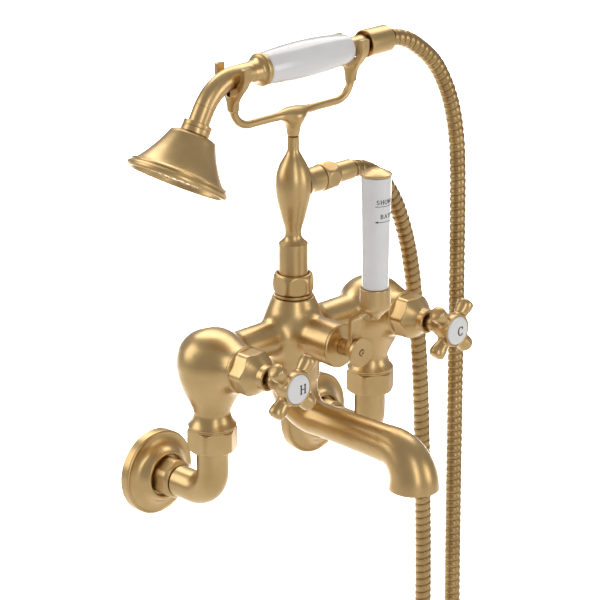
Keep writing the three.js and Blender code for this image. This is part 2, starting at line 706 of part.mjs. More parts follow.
function headShell() {
  const outer = turned([
    [10.6, 9.4], [15.6, 10], [17.4, 12.4], [20.6, 20.2], [24.8, 28], [31.2, 36.2],
    [36.4, 40.6], [38.4, 42.4], [37.6, 43.6], [HEAD_RADIUS, 45],
    [HEAD_RADIUS, 47], [38.8, 48.2],
  ], 20);
  const inner = turned([
    [14, 12.4], [16.4, 16], [19.2, 22], [23, 28.8], [29.4, 37], [35.2, 41.6], [36.2, 41.8],
    [36.2, 50],
  ], 20);
  return cut(outer, inner, rod(5.2, 8, 13, 10));
}

function sprayPlate() {
  return turned([[35.6, 42.2], [35.6, 44.2], [30, 45], [0, 45.8]], 20);
}

function handset() {
  const grip = place(0, -PIPE_PROJECTION, HANDSET_HEIGHT, 'right');
  const neck = place(0, -PIPE_PROJECTION, 0);
  piece(neck, 'gooseneck', gooseneck(), BRASS());

  const collar = turned([
    [7.6, -47.4], [8.3, -44.6], [8.8, -41.2], [10.4, -38.4], [12.9, -36.4], [12.9, -33.8],
    [12, -33.2],
  ]);
  piece(grip, 'grip_collar', pierced(collar, 6.6, -48, -33), BRASS());
  const body = turned([
    [11.9, -32.9], [12.9, -25], [14.2, -11], [14.9, 6], [14.7, 20], [13.7, 36], [11.9, 52],
    [10.6, 57.8], [8.9, 59.4],
  ]);
  piece(grip, 'handset_grip', pierced(body, 6.6, -33, 60), CERAMIC());
  const tube = turned([
    [6.1, -47.3], [6.1, 59.8], [7.9, 60.2], [7.9, 78.2], [6.3, 78.6], [6.3, 91.8],
  ], 14);
  piece(grip, 'handset_tube', pierced(tube, 4.4, -48, 92), BRASS());

  const nut = turned([
    [10, 78.8], [10.9, 79.6], [10.9, 103.4], [10.2, 105], [8.2, 107.3],
  ]);
  const threadedNut = cut(nut, rod(7.1, 78, 99.6, 14), rod(5.5, 99, 109, SMALL_ROUND));
  piece(grip, 'handset_hose_nut', threadedNut, BRASS());
  piece(grip, 'handset_washer', ring(4.6, 6.8, 92.1, 93.7, 10), RUBBER());
  const tail = turned([[6.8, 94], [6.8, 99.2], [5, 99.3], [5, 107.5]], 12);
  piece(grip, 'hose_tail_handset', pierced(tail, 3.6, 94, 108), BRASS());

  const neckEnd = neckPath(0, 0).at.clone();
  const placeOnHead = (body) => along(headAxis, body).translate(neckEnd.toArray());
  piece(neck, 'head_collar', placeOnHead(ring(5.2, 11.4, 0.3, 9.1)), BRASS());
  piece(neck, 'head_shell', placeOnHead(headShell()), BRASS());
  piece(neck, 'spray_plate', placeOnHead(sprayPlate()), BRASS());
}

// ---- hose ---------------------------------------------------------------------------------

// Middle line of the hose as [x, z], all in the plane of the riser: from the outlet on the
// riser, down into a free hanging loop and back up to the handset.
const HOSE_ROUTE = [
  [66, 235], [69.8, 234.5], [77.5, 232.8], [85, 229.8], [100, 219.8], [111.4, 206.4], [120.5, 191],
  [131, 164.6], [138.3, 137], [145.7, 91], [151, 45], [155, -14], [158, -80], [160, -145],
  [160.6, -200], [160.6, -246], [155, -271], [142, -290], [128, -310], [123, -333],
  [128.5, -357], [143.5, -376.5], [180, -390], [216.5, -376.5], [231.5, -357], [237, -333],
  [232, -310], [218, -290], [205, -271], [199.4, -246], [199.4, -200], [198.4, -130],
  [197.2, 20], [196.2, 128], [194.6, 210], [191.2, 242], [182.5, 272.5], [163.5, 304.4],
  [134.3, 327.4], [120.6, 333], [109.2, 335.2],
];

function hose() {
  const route = new THREE.CatmullRomCurve3(
    HOSE_ROUTE.map(([x, z]) => new THREE.Vector3(x, -PIPE_PROJECTION, z)), false, 'centripetal');
  const section = new THREE.Shape();
  section.absarc(0, 0, HOSE_DIAMETER / 2, 0, 2 * Math.PI, false);
  const bore = new THREE.Path();
  bore.absarc(0, 0, HOSE_BORE_RADIUS, 0, 2 * Math.PI, true);
  section.holes.push(bore);
  const geometry = new THREE.ExtrudeGeometry(section, {
    extrudePath: route, steps: HOSE_STEPS, curveSegments: HOSE_SECTION_SIDES / 2,
  });
  piece(faucet, 'hose', solid(geometry), HOSE_BRASS());
}

// ---- the whole faucet ---------------------------------------------------------------------

for (const [side, direction] of [['left', -1], ['right', 1]]) {
  const x = direction * INLET_X;
  wallConnection(side, x);
  const body = valveBody(-direction);
  piece(place(x, -PIPE_PROJECTION, 0), `valve_body_${side}`, body, BRASS());
  const tube = ring(CROSS_TUBE_BORE, CROSS_TUBE_RADIUS, TUBE_INNER_END, TUBE_OUTER_END, TUBE_ROUND);
  const tubeDirection = new THREE.Vector3(direction, 0, 0);
  const tubePlace = place(0, -PIPE_PROJECTION, VALVE_HEIGHT);
  piece(tubePlace, `cross_tube_${side}`, along(tubeDirection, tube), BRASS());
  valveTrim(side, x);
}
const centre = place(0, -PIPE_PROJECTION, 0);
piece(centre, 'hub_body', hubBody(), BRASS());
piece(centre, 'spout', spout(), BRASS());
piece(place(0, -PIPE_PROJECTION - SPOUT_REACH, 0), 'spout_flow_straightener',
  flowStraightener(), CARTRIDGE());
diverter();
riserAssembly();
handset();
hose();

export default faucet;
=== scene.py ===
"""Looks of the wall mounted bath and shower mixer.

Shapes are written in millimetres and become metres in add_piece. +X runs along the wall
towards the cold side, +Y runs into the wall and +Z is up, as in the CAD frame.
"""
import json
import math

import bmesh
import bpy
import numpy as np
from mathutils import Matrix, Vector


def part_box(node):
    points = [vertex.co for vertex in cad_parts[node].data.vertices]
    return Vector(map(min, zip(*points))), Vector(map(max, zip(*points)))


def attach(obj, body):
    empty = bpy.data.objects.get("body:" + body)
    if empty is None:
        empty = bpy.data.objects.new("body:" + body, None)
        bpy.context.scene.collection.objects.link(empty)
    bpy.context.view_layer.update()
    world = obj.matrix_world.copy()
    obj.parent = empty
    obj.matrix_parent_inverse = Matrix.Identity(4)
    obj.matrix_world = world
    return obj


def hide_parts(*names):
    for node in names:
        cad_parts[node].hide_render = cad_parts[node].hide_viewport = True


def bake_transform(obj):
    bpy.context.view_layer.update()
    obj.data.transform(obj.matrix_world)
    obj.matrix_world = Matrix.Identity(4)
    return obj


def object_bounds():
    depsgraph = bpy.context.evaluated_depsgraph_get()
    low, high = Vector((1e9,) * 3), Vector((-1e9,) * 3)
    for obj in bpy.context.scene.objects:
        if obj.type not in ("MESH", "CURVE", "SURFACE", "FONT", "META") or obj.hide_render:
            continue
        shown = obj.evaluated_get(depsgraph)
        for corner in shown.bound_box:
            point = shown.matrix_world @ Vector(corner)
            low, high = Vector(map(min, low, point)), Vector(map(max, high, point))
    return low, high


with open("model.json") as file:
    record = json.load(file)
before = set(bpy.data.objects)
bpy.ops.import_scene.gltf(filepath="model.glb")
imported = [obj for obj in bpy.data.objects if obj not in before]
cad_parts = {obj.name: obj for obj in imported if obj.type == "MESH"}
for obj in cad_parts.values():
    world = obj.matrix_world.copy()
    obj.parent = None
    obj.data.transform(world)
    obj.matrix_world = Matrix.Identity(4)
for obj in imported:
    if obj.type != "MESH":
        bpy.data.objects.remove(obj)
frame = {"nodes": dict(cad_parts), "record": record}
CAD_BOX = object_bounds()
MM = 0.001


# ---- places taken from the frame ----

def middle(node):
    """Middle of a CAD node's box, in millimetres."""
    low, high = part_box(node)
    return np.array((low + high) / 2) / MM


INLET_X = middle("wall_flange_right")[0]
PLANE_Y = middle("riser_collar")[1]
VALVE_Z = middle("cross_tube_right")[2]
GRIP_Y = middle("lever_grip")[1]
OUTLET_Z = middle("outlet_nut")[2]
HANDSET_Z = middle("handset_grip")[2]
FORK_HALF_WIDTH = 3.7
FORK_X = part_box("cradle")[1][0] / MM - FORK_HALF_WIDTH
SIDES = (("left", -1), ("right", 1))


class Place:
    """Takes points about a local +Z axis into the row frame."""

    def __init__(self, origin, axis=(0, 0, 1), side=(1, 0, 0)):
        axis, side = np.array(axis, float), np.array(side, float)
        axis /= np.linalg.norm(axis)
        side -= axis * side.dot(axis)
        side /= np.linalg.norm(side)
        self.turn = np.column_stack([side, np.cross(axis, side), axis])
        self.origin = np.array(origin, float)

    def __call__(self, points):
        return np.asarray(points, float) @ self.turn.T + self.origin


# Places whose local +Z points up, into the room, and to the right along the handset's plane.

def upright(x, y):
    return Place((x, y, 0))


def roomward(x, y, z):
    return Place((x, y, z), axis=(0, -1, 0))


def rightward(z):
    return Place((0, PLANE_Y, z), axis=(1, 0, 0), side=(0, 0, -1))


# ---- camera ----

def add_camera():
    """A long lens in the room, above the faucet and on its hot side."""
    data = bpy.data.cameras.new("camera")
    data.sensor_width = 36
    data.lens = 157.5
    camera = bpy.data.objects.new("camera", data)
    camera.location = (-1.39386, -1.45964, 0.83695)
    camera.rotation_euler = (math.radians(70.5), 0, math.radians(-45.24))
    bpy.context.collection.objects.link(camera)
    bpy.context.scene.camera = camera


# ---- materials ----

class Paint:
    """A procedural material while it is put together."""

    def __init__(self, name, metallic=0.0):
        self.material = bpy.data.materials.new(name)
        self.material.use_nodes = True
        self.nodes = self.material.node_tree.nodes
        self.link = self.material.node_tree.links.new
        self.shader = next(n for n in self.nodes if n.type == "BSDF_PRINCIPLED").inputs
        self.shader["Metallic"].default_value = metallic
        self.place = self.nodes.new("ShaderNodeTexCoord").outputs["Object"]

    def coat(self, weight, rough, ior=1.5):
        self.shader["Coat Weight"].default_value = weight
        self.shader["Coat Roughness"].default_value = rough
        self.shader["Coat IOR"].default_value = ior

    def noise(self, scale, stretch=(1, 1, 1), detail=3.0):
        mapping = self.nodes.new("ShaderNodeMapping")
        mapping.inputs["Scale"].default_value = stretch
        texture = self.nodes.new("ShaderNodeTexNoise")
        texture.inputs["Scale"].default_value = scale
        texture.inputs["Detail"].default_value = detail
        self.link(self.place, mapping.inputs["Vector"])
        self.link(mapping.outputs["Vector"], texture.inputs["Vector"])
        return texture.outputs["Fac"]

    def vary(self, name, factor, low, high):
        """Makes an input of the shader, a colour or a number, follow the factor from low to high."""
        node = self.nodes.new("ShaderNodeValToRGB")
        for element, value, at in zip(node.color_ramp.elements, (low, high), (0.3, 0.7)):
            element.position = at
            element.color = (*value, 1) if isinstance(value, tuple) else (value, value, value, 1)
        self.link(factor, node.inputs["Fac"])
        self.link(node.outputs["Color"], self.shader[name])

    def bump(self, height, strength, distance):
        node = self.nodes.new("ShaderNodeBump")
        node.inputs["Strength"].default_value = strength
        node.inputs["Distance"].default_value = distance
        self.link(height, node.inputs["Height"])
        self.link(node.outputs["Normal"], self.shader["Normal"])


def brushed(name, dark, light, rough, stretch):
    """Lacquered satin metal, brushed round the axis that stretch picks out, with faint patches."""
    paint = Paint(name, metallic=1.0)
    paint.coat(0.3, 0.3, 1.9)
    cloud = paint.noise(38, detail=4)
    lines = paint.noise(60, stretch, detail=5)
    paint.vary("Base Color", cloud, dark, light)
    paint.vary("Roughness", lines, *rough)
    paint.bump(lines, 0.12, 0.0002)
    return paint.material


def glazed_ceramic():
    paint = Paint("glazed_ceramic")
    paint.coat(0.6, 0.06)
    cloud = paint.noise(45)
    paint.vary("Base Color", cloud, (0.76, 0.745, 0.725), (0.82, 0.805, 0.785))
    paint.vary("Roughness", cloud, 0.16, 0.24)
    paint.bump(paint.noise(90), 0.08, 0.0002)
    return paint.material


def plain(name, dark, light, rough, metallic=0.0, grain=300):
    """An even material with a fine speckle."""
    paint = Paint(name, metallic)
    speckle = paint.noise(grain)
    paint.vary("Base Color", speckle, dark, light)
    paint.vary("Roughness", speckle, rough - 0.05, rough + 0.05)
    paint.bump(speckle, 0.1, 0.0001)
    return paint.material


BRASS_DARK = (0.53, 0.348, 0.135)
BRASS_LIGHT = (0.63, 0.428, 0.185)
BRASS = {axis: brushed(f"satin_brass_{axis}", BRASS_DARK, BRASS_LIGHT, (0.29, 0.39), stretch)
         for axis, stretch in (("x", (30, 1, 1)), ("y", (1, 30, 1)), ("z", (1, 1, 30)))}
HOSE_METAL = brushed("hose_brass", (0.36, 0.222, 0.075), (0.47, 0.306, 0.118), (0.3, 0.4), (1, 1, 12))
CERAMIC = glazed_ceramic()
INK = plain("black_enamel", (0.012, 0.012, 0.013), (0.03, 0.03, 0.032), 0.35)
RUBBER = plain("black_rubber", (0.012, 0.012, 0.012), (0.03, 0.03, 0.03), 0.7)
STEEL = plain("turned_steel", (0.40, 0.39, 0.37), (0.52, 0.51, 0.49), 0.32, metallic=1.0)
MOULDED = plain("moulded_plastic", (0.55, 0.55, 0.53), (0.63, 0.63, 0.61), 0.45)
SLOT_MATERIALS = {
    "satin_brass": BRASS["z"], "hose_brass": HOSE_METAL, "white_ceramic": CERAMIC,
    "cartridge_plastic": MOULDED, "rubber_black": RUBBER, "steel": STEEL,
}


# ---- pieces ----

SHARP = math.radians(38)


def face_outwards(mesh):
    work = bmesh.new()
    work.from_mesh(mesh)
    if work.calc_volume(signed=True) < 0:
        mesh.flip_normals()
    work.free()


def add_piece(name, shape, material, body, nodes=()):
    """Makes a smooth mesh of a (points, faces) shape, in millimetres in the row frame."""
    points, faces = shape
    mesh = bpy.data.meshes.new(name)
    mesh.from_pydata((points * MM).tolist(), [], faces)
    face_outwards(mesh)
    mesh.validate()
    mesh.polygons.foreach_set("use_smooth", [True] * len(mesh.polygons))
    mesh.set_sharp_from_angle(angle=SHARP)
    mesh.materials.append(material)
    piece = bpy.data.objects.new(name, mesh)
    bpy.context.collection.objects.link(piece)
    if body:
        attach(piece, body)
    if nodes:
        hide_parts(*nodes)
    return piece


def brass_piece(name, shape, body, nodes=(), axis="z"):
    return add_piece(name, shape, BRASS[axis], body, nodes)


def brass_set(place, body, axis, *rows):
    """Brass pieces about one place: each row has a name, a shape and the CAD node it replaces."""
    return [brass_piece(name, placed(place, shape), body, [node], axis) for name, shape, node in rows]


def combined(*shapes):
    """Several closed bodies in one shape."""
    points, faces, first = [], [], 0
    for part_points, part_faces in shapes:
        points.append(part_points)
        faces += [[first + i for i in face] for face in part_faces]
        first += len(part_points)
    return np.vstack(points), faces


def placed(place, shape):
    return place(shape[0]), shape[1]


# ---- outlines ----

def corners(points, steps=5):
    """Dense [radius, height] rows; a third value rounds that corner with about that radius."""
    rows = []
    for i, point in enumerate(points):
        here = np.array(point[:2], float)
        if len(point) < 3 or i in (0, len(points) - 1):
            rows.append(here)
            continue
        arms = [np.array(points[i + d][:2], float) - here for d in (-1, 1)]
        lengths = [np.linalg.norm(arm) for arm in arms]
        units = [arm / length for arm, length in zip(arms, lengths)]
        angle = math.acos(max(-1.0, min(1.0, units[0].dot(units[1]))))
        cut = min(point[2] / math.tan(angle / 2), 0.48 * min(lengths))
        for t in np.linspace(0, 1, steps):
            rows.append(here + cut * (units[0] * (1 - t) ** 2 + units[1] * t ** 2))
    return rows


def through(points, steps=8):
    """A smooth curve through the points, as dense rows."""
    p = np.array(points, float)
    p = np.vstack([2 * p[0] - p[1], p, 2 * p[-1] - p[-2]])
    rows = [p[1]]
    for a, b, c, d in zip(p, p[1:], p[2:], p[3:]):
        gap = [max(np.linalg.norm(v - u) ** 0.5, 1e-6) for u, v in ((a, b), (b, c), (c, d))]
        start = (b - a) / gap[0] - (c - a) / (gap[0] + gap[1]) + (c - b) / gap[1]
        end = (c - b) / gap[1] - (d - b) / (gap[1] + gap[2]) + (d - c) / gap[2]
        for t in np.linspace(0, 1, steps + 1)[1:]:
            s = 1 - t
            rows.append(b * (1 + 2 * t) * s * s + c * t * t * (3 - 2 * t)
                        + gap[1] * (start * t * s * s - end * t * t * s))
    return rows


def smooth_function(points):
    """A smooth function of the second value through [result, value] points, and its slope."""
    rows = np.array(through(sorted(points, key=lambda row: row[1]), 24))
    slope = np.gradient(rows[:, 0], rows[:, 1])
    return (lambda at: np.interp(at, rows[:, 1], rows[:, 0]),
            lambda at: np.interp(at, rows[:, 1], slope))


# ---- turned, faceted and swept shapes ----

def skin_of_rings(rings):
    """A closed shape over equal rings of points, each end closed at its middle."""
    rings = np.asarray(rings, float)
    count, around = rings.shape[:2]
    points = np.vstack([rings.reshape(-1, 3), rings[0].mean(0), rings[-1].mean(0)])
    faces = []
    after = [(j + 1) % around for j in range(around)]
    for i in range(count - 1):
        a, b = i * around, (i + 1) * around
        faces += [[a + j, a + after[j], b + after[j], b + j] for j in range(around)]
    first, last = count * around, count * around + 1
    end = (count - 1) * around
    faces += [[after[j], j, first] for j in range(around)]
    faces += [[end + j, end + after[j], last] for j in range(around)]
    return points, faces


def skin_about_z(radius, angle, height):
    """A closed shape over rings about +Z; radius has a row for each height."""
    flat = np.broadcast_to(height, (len(height), len(angle)))
    return skin_of_rings(np.stack([radius * np.cos(angle), radius * np.sin(angle), flat], -1))


def turned(rows, around=96):
    """A closed solid of revolution about +Z."""
    rows = np.array(rows, float)
    angle = np.linspace(0, 2 * math.pi, around, endpoint=False)
    return skin_about_z(rows[:, :1], angle, rows[:, 1:])


def faceted(rows, corner, turn=0.0, sides=6, soft=0.12):
    """A turned solid cut by the flats of a hexagon; turn points a corner away from local +X."""
    rows = np.array(rows, float)
    dense = [rows[0]]
    for low, high in zip(rows, rows[1:]):
        count = max(1, math.ceil(np.linalg.norm(high - low) / 0.35))
        dense += [low + (high - low) * t for t in np.linspace(0, 1, count + 1)[1:]]
    dense = np.array(dense)
    half = math.pi / sides
    spread = half * (1 - np.linspace(0, 1, 14) ** 0.6)
    sector = np.unique(np.concatenate([-spread, spread]))[:-1]
    angle = np.concatenate([sector + 2 * half * (i + 0.5) for i in range(sides)])
    across = corner * math.cos(half)
    from_flat = (angle + half) % (2 * half) - half
    flats = across / np.cos(from_flat - half), across / np.cos(from_flat + half)
    limits = np.stack(np.broadcast_arrays(*flats, dense[:, :1]))
    least, round_radius = limits.min(0), limits[2]
    radius = least - soft * np.log(np.exp((least - limits) / soft).sum(0))
    radius = np.where(round_radius < least + 4 * soft, np.minimum(radius, round_radius), radius)
    return skin_about_z(radius, angle + turn, dense[:, 1:])


class Track:
    """A path in a plane, made of straights and arcs."""

    def __init__(self, start, heading):
        self.end = np.array(start, float)
        self.heading = np.array(heading, float)
        self.parts = []
        self.length = 0.0

    def straight(self, length):
        self.parts.append(("line", self.length, length, self.end, self.heading, 0, 0))
        self.end = self.end + self.heading * length
        self.length += length
        return self

    def bend(self, radius, degrees):
        """Turns left for a positive angle and right for a negative one."""
        sweep = math.radians(degrees)
        left = np.array([-self.heading[1], self.heading[0]]) * math.copysign(1, sweep)
        centre = self.end + left * radius
        self.parts.append(("arc", self.length, radius * abs(sweep), centre, -left, radius, sweep))
        self.end = centre + self.spun(-left, sweep) * radius
        self.heading = self.spun(self.heading, sweep)
        self.length += radius * abs(sweep)
        return self

    @staticmethod
    def spun(vector, angle):
        c, s = math.cos(angle), math.sin(angle)
        return np.array([c * vector[0] - s * vector[1], s * vector[0] + c * vector[1]])

    def station(self, at):
        """Point and heading at a length along the path; it runs on straight past its ends."""
        for kind, start, length, origin, arm, radius, sweep in self.parts:
            if at <= start + length or start + length >= self.length - 1e-9:
                break
        if kind == "line":
            return origin + arm * (at - start), arm
        angle = sweep * (at - start) / length
        ahead = self.spun(arm, angle + math.copysign(math.pi / 2, sweep))
        return origin + self.spun(arm, angle) * radius, ahead

    def nearest(self, u, v):
        """Length along the path of the nearest point, and the distance to it."""
        best_length = np.zeros_like(u)
        best = np.full_like(u, 1e9)
        for kind, start, length, origin, arm, radius, sweep in self.parts:
            du, dv = u - origin[0], v - origin[1]
            if kind == "line":
                t = np.clip(du * arm[0] + dv * arm[1], 0, length)
                gap = np.hypot(du - arm[0] * t, dv - arm[1] * t)
            else:
                way = math.copysign(1, sweep)
                turn = np.arctan2(arm[0] * dv - arm[1] * du, arm[0] * du + arm[1] * dv) * way
                turn = np.where(turn < (abs(sweep) - 2 * math.pi) / 2, turn + 2 * math.pi, turn)
                turn = np.clip(turn, 0, abs(sweep)) * way
                c, s = np.cos(turn), np.sin(turn)
                foot_u = radius * (c * arm[0] - s * arm[1])
                foot_v = radius * (s * arm[0] + c * arm[1])
                gap = np.hypot(du - foot_u, dv - foot_v)
                t = np.abs(turn) * radius
            closer = gap < best
            best = np.where(closer, gap, best)
            best_length = np.where(closer, start + t, best_length)
        return best_length, best


def swept(track, rows, plane, around=72):
    """A tube along a track; rows are [radius, length along], plane maps (across, u, v) points."""
    angle = np.linspace(0, 2 * math.pi, around, endpoint=False)
    rings = []
    for radius, at in rows:
        point, heading = track.station(at)
        out = np.array([-heading[1], heading[0]])
        uv = point + np.outer(radius * np.sin(angle), out)
        rings.append(plane(radius * np.cos(angle), uv[:, 0], uv[:, 1]))
    return skin_of_rings(rings)


def side_plane(x):
    """Across is along X, u is Y and v is Z."""
    return lambda across, u, v: np.column_stack([x + across, u, v])


def wall_plane(across, u, v):
    """Across is along Y from the riser's plane, u is X and v is Z."""
    return np.column_stack([u, PLANE_Y + across, v])


# ---- cast shapes ----

def blended(size, *distances):
    """The union of solids given by distance, with a fillet of about that size between them."""
    whole = distances[0]
    for other in distances[1:]:
        mix = np.maximum(size - np.abs(whole - other), 0) / size
        whole = np.minimum(whole, other) - mix * mix * size / 4
    return whole


def capped(radial, *past, edge=0.6):
    """Distance to a bar with soft edges, from its radial distance and those past its ends."""
    a, b = radial + edge, np.maximum.reduce(past) + edge
    return np.minimum(np.maximum(a, b), 0) + np.hypot(np.maximum(a, 0), np.maximum(b, 0)) - edge


def tapering(distance_from_axis, along, function, low, high, edge=0.4):
    """Distance to a turned solid whose radius is a smooth function of the place along it."""
    radius, slope = function
    at = np.clip(along, low, high)
    radial = (distance_from_axis - radius(at)) / np.sqrt(1 + slope(at) ** 2)
    return capped(radial, low - along, along - high, edge=edge)


CORNER_OFFSETS = list(np.ndindex(2, 2, 2))


def cast(field, low, high, step, block=8):
    """The surface where field is zero: surface nets on a grid, then pulled onto the surface."""
    low = np.array(low, float)
    blocks = np.ceil((np.array(high, float) - low) / (step * block)).astype(int)
    middles = np.stack(np.meshgrid(*[low[a] + step * block * (np.arange(n) + 0.5)
                                     for a, n in enumerate(blocks)], indexing="ij"), -1)
    coarse = field(middles.reshape(-1, 3)).reshape(blocks)
    values = np.ones(blocks * block + 1, np.float32)
    values[:-1, :-1, :-1] = np.repeat(np.repeat(np.repeat(coarse, block, 0), block, 1), block, 2)
    wanted = np.zeros(values.shape, bool)
    for i, j, k in np.argwhere(np.abs(coarse) < step * block * 1.15):
        wanted[tuple(slice(n * block, (n + 1) * block + 1) for n in (i, j, k))] = True
    cells = np.argwhere(wanted)
    values[wanted] = field(low + step * cells)
    inside = values < 0
    shape = np.array(values.shape) - 1
    corner_values = [values[i:i + shape[0], j:j + shape[1], k:k + shape[2]]
                     for i, j, k in CORNER_OFFSETS]
    count = sum((v < 0).astype(np.int8) for v in corner_values)
    active = (count > 0) & (count < 8)
    index = np.full(shape, -1, np.int64)
    index[active] = np.arange(active.sum())
    at = np.argwhere(active)
    local = np.stack([v[active] for v in corner_values], 1)
    total, crossings = np.zeros((len(at), 3)), np.zeros(len(at))
    for first, a in enumerate(CORNER_OFFSETS):
        for second, b in enumerate(CORNER_OFFSETS):
            if second <= first or sum(abs(p - q) for p, q in zip(a, b)) != 1:
                continue
            va, vb = local[:, first], local[:, second]
            crossed = (va < 0) != (vb < 0)
            t = np.where(crossed, va / np.where(crossed, va - vb, 1), 0)
            spot = np.array(a) + t[:, None] * (np.array(b) - np.array(a))
            total += spot * crossed[:, None]
            crossings += crossed
    points = low + step * (at + total / crossings[:, None])
    faces = []
    for axis in range(3):
        u, v = [a for a in range(3) if a != axis]
        change = np.diff(inside.astype(np.int8), axis=axis)
        edges = np.argwhere(change)
        beside = edges[:, [u, v]]
        edges = edges[((beside > 0) & (beside < shape[[u, v]])).all(1)]
        quad = []
        for du, dv in ((1, 1), (0, 1), (0, 0), (1, 0)):
            cell = edges.copy()
            cell[:, u] -= du
            cell[:, v] -= dv
            quad.append(index[tuple(cell.T)])
        quad = np.stack(quad, 1)
        flip = (change[tuple(edges.T)] < 0) == (axis == 1)
        quad[flip] = quad[flip][:, ::-1]
        faces.append(quad)
    small = step * 0.05
    for _ in range(3):
        value = field(points)
        slope = np.stack([(field(points + small * d) - value) / small for d in np.eye(3)], 1)
        size = np.maximum((slope ** 2).sum(1), 0.2)
        move = slope * (value / size)[:, None]
        points = points - np.clip(move, -step, step)
    return points, np.vstack(faces).tolist()


# ---- wall connections ----

def wall_flange():
    rim = corners([[35, 0], [35, 7.3, 1.2], [33.6, 8.2, 0.6], [32.7, 7.9, 0.3]])
    dish = through([
        [32.2, 7.7], [29.5, 8.1], [26.6, 9.3], [24.3, 11], [22.6, 13.2], [21.2, 15.6], [20.2, 17]
    ])
    lip = corners([[19.6, 17.5], [18.3, 17.6, 0.5], [17.2, 16.6, 0.4], [17, 13.4]])
    return turned(rim + dish + lip, 128)


def wall_nut():
    rows = corners([
        [15, 13.6], [16.1, 14.6, 0.4], [16.1, 28.4, 0.5], [13.9, 31, 0.5], [12.9, 31.3, 0.2],
        [12.6, 30.8]
    ])
    return faceted(rows, 17.3, math.pi / 6)


PIPE_RADIUS = 12.8
PIPE_START = 31.9
PIPE_BEND = 21


def elbow(x):
    """Pipe from the wall nut out into the room and up into the union nut."""
    run = -PLANE_Y - PIPE_START - PIPE_BEND
    track = Track((-PIPE_START, 0), (-1, 0)).straight(run).bend(PIPE_BEND, -90).straight(20)
    rows = corners([[PIPE_RADIUS - 0.5, 0], [PIPE_RADIUS, 0.5, 0.3], [PIPE_RADIUS, track.length]])
    rows[-1:] = [[PIPE_RADIUS, at] for at in np.linspace(1.5, track.length, 44)]
    return swept(track, rows, side_plane(x))


def union_nut():
    rows = corners([
        [13.2, 39], [18, 39.1, 0.4], [20.4, 41.2, 0.5], [20.4, 55.8, 0.5], [18.5, 57, 0.4],
        [15.6, 57.1]
    ])
    return faceted(rows, 21, math.pi / 6)


def union_lip():
    """Collar of the valve body that the union nut pulls on."""
    return turned(corners([
        [15, 54.5], [15.2, 57, 0.3], [18.6, 57.2, 0.4], [18.6, 58.5, 0.3], [17.9, 58.8, 0.2],
        [19.1, 59.1, 0.3], [19.3, 60.2, 0.5], [18.4, 60.9, 0.3], [16, 61.2]
    ]))


# ---- cast body: both valves, the cross tubes, the hub and the spout ----

BULB = smooth_function([
    [19.2, 60], [17.9, 61.7], [16.2, 64.4], [15.1, 67.4], [14.6, 70.8], [16.5, 76.4], [21.6, 87],
    [25.9, 99.5], [27.8, 110]
])
BULB_MIDDLE = 110
DOME = smooth_function([
    [27.8, 0], [28.2, 0.32], [28.9, 0.7], [28.9, 1], [28.3, 1.3], [28, math.pi / 2]
])
TUBE_RADIUS = 13.9
BOSS_RADIUS = 18.3
BOSS_LENGTH = 35.4
HUB = smooth_function([
    [20.2, 76], [20.6, 82], [22.6, 95], [24.9, 107], [25.4, 115], [24.9, 122], [22.7, 130.2],
    [19.8, 137.2], [16.8, 144.2]
])
HUB_TOP = 144.2
BARREL = smooth_function([[16.4, 0], [16.9, 24], [17.5, 38], [17.9, 52]])
BARREL_LENGTH = 51.9
SPOUT_BEND = 25
HUB_BEND = 27.3
MOUTH_Y = middle("spout_flow_straightener")[1]
MOUTH_RADIUS = 16.2
MOUTH_DEPTH = 5.2
MOUTH_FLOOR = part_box("spout")[0][2] / MM - 0.7
SPOUT = Track((PLANE_Y, 80), (0, -1)).straight(6).bend(HUB_BEND, -90)
SPOUT_RUN = PLANE_Y - MOUTH_Y - SPOUT_BEND - HUB_BEND
SPOUT.straight(SPOUT_RUN).bend(SPOUT_BEND, 90).straight(4.4)
RUN_START = 6 + HUB_BEND * math.pi / 2
BEND_START = RUN_START + SPOUT_RUN
SPOUT_RADIUS = smooth_function([
    [20.2, -4], [20, 0], [19.8, 5], [19.2, 12], [18.2, 19.5], [17, 26.6], [15.8, 33.7],
    [14.8, 40.8], [14, RUN_START], [13.9, RUN_START + 28], [14.4, RUN_START + 56],
    [15.4, BEND_START], [16.7, BEND_START + 13], [18.4, BEND_START + 26],
    [19.8, BEND_START + 39], [20.1, SPOUT.length + 1]])


def valve_distance(across, y, z):
    """Bulb with its domed top, and the boss in front; across is the distance from its axis in X."""
    from_axis = np.hypot(across, y - PLANE_Y)
    lower = tapering(from_axis, z, BULB, 60.2, BULB_MIDDLE + 20)
    rise = np.maximum(z - BULB_MIDDLE, 0)
    angle = np.arctan2(rise, from_axis)
    upper = np.hypot(from_axis, rise) - DOME[0](angle)
    bulb = np.where(z > BULB_MIDDLE, upper, lower)
    front = PLANE_Y - y
    boss_axis = np.hypot(across, z - VALVE_Z)
    boss = capped(boss_axis - BOSS_RADIUS, -front, front - BOSS_LENGTH)
    return blended(13, bulb, boss)


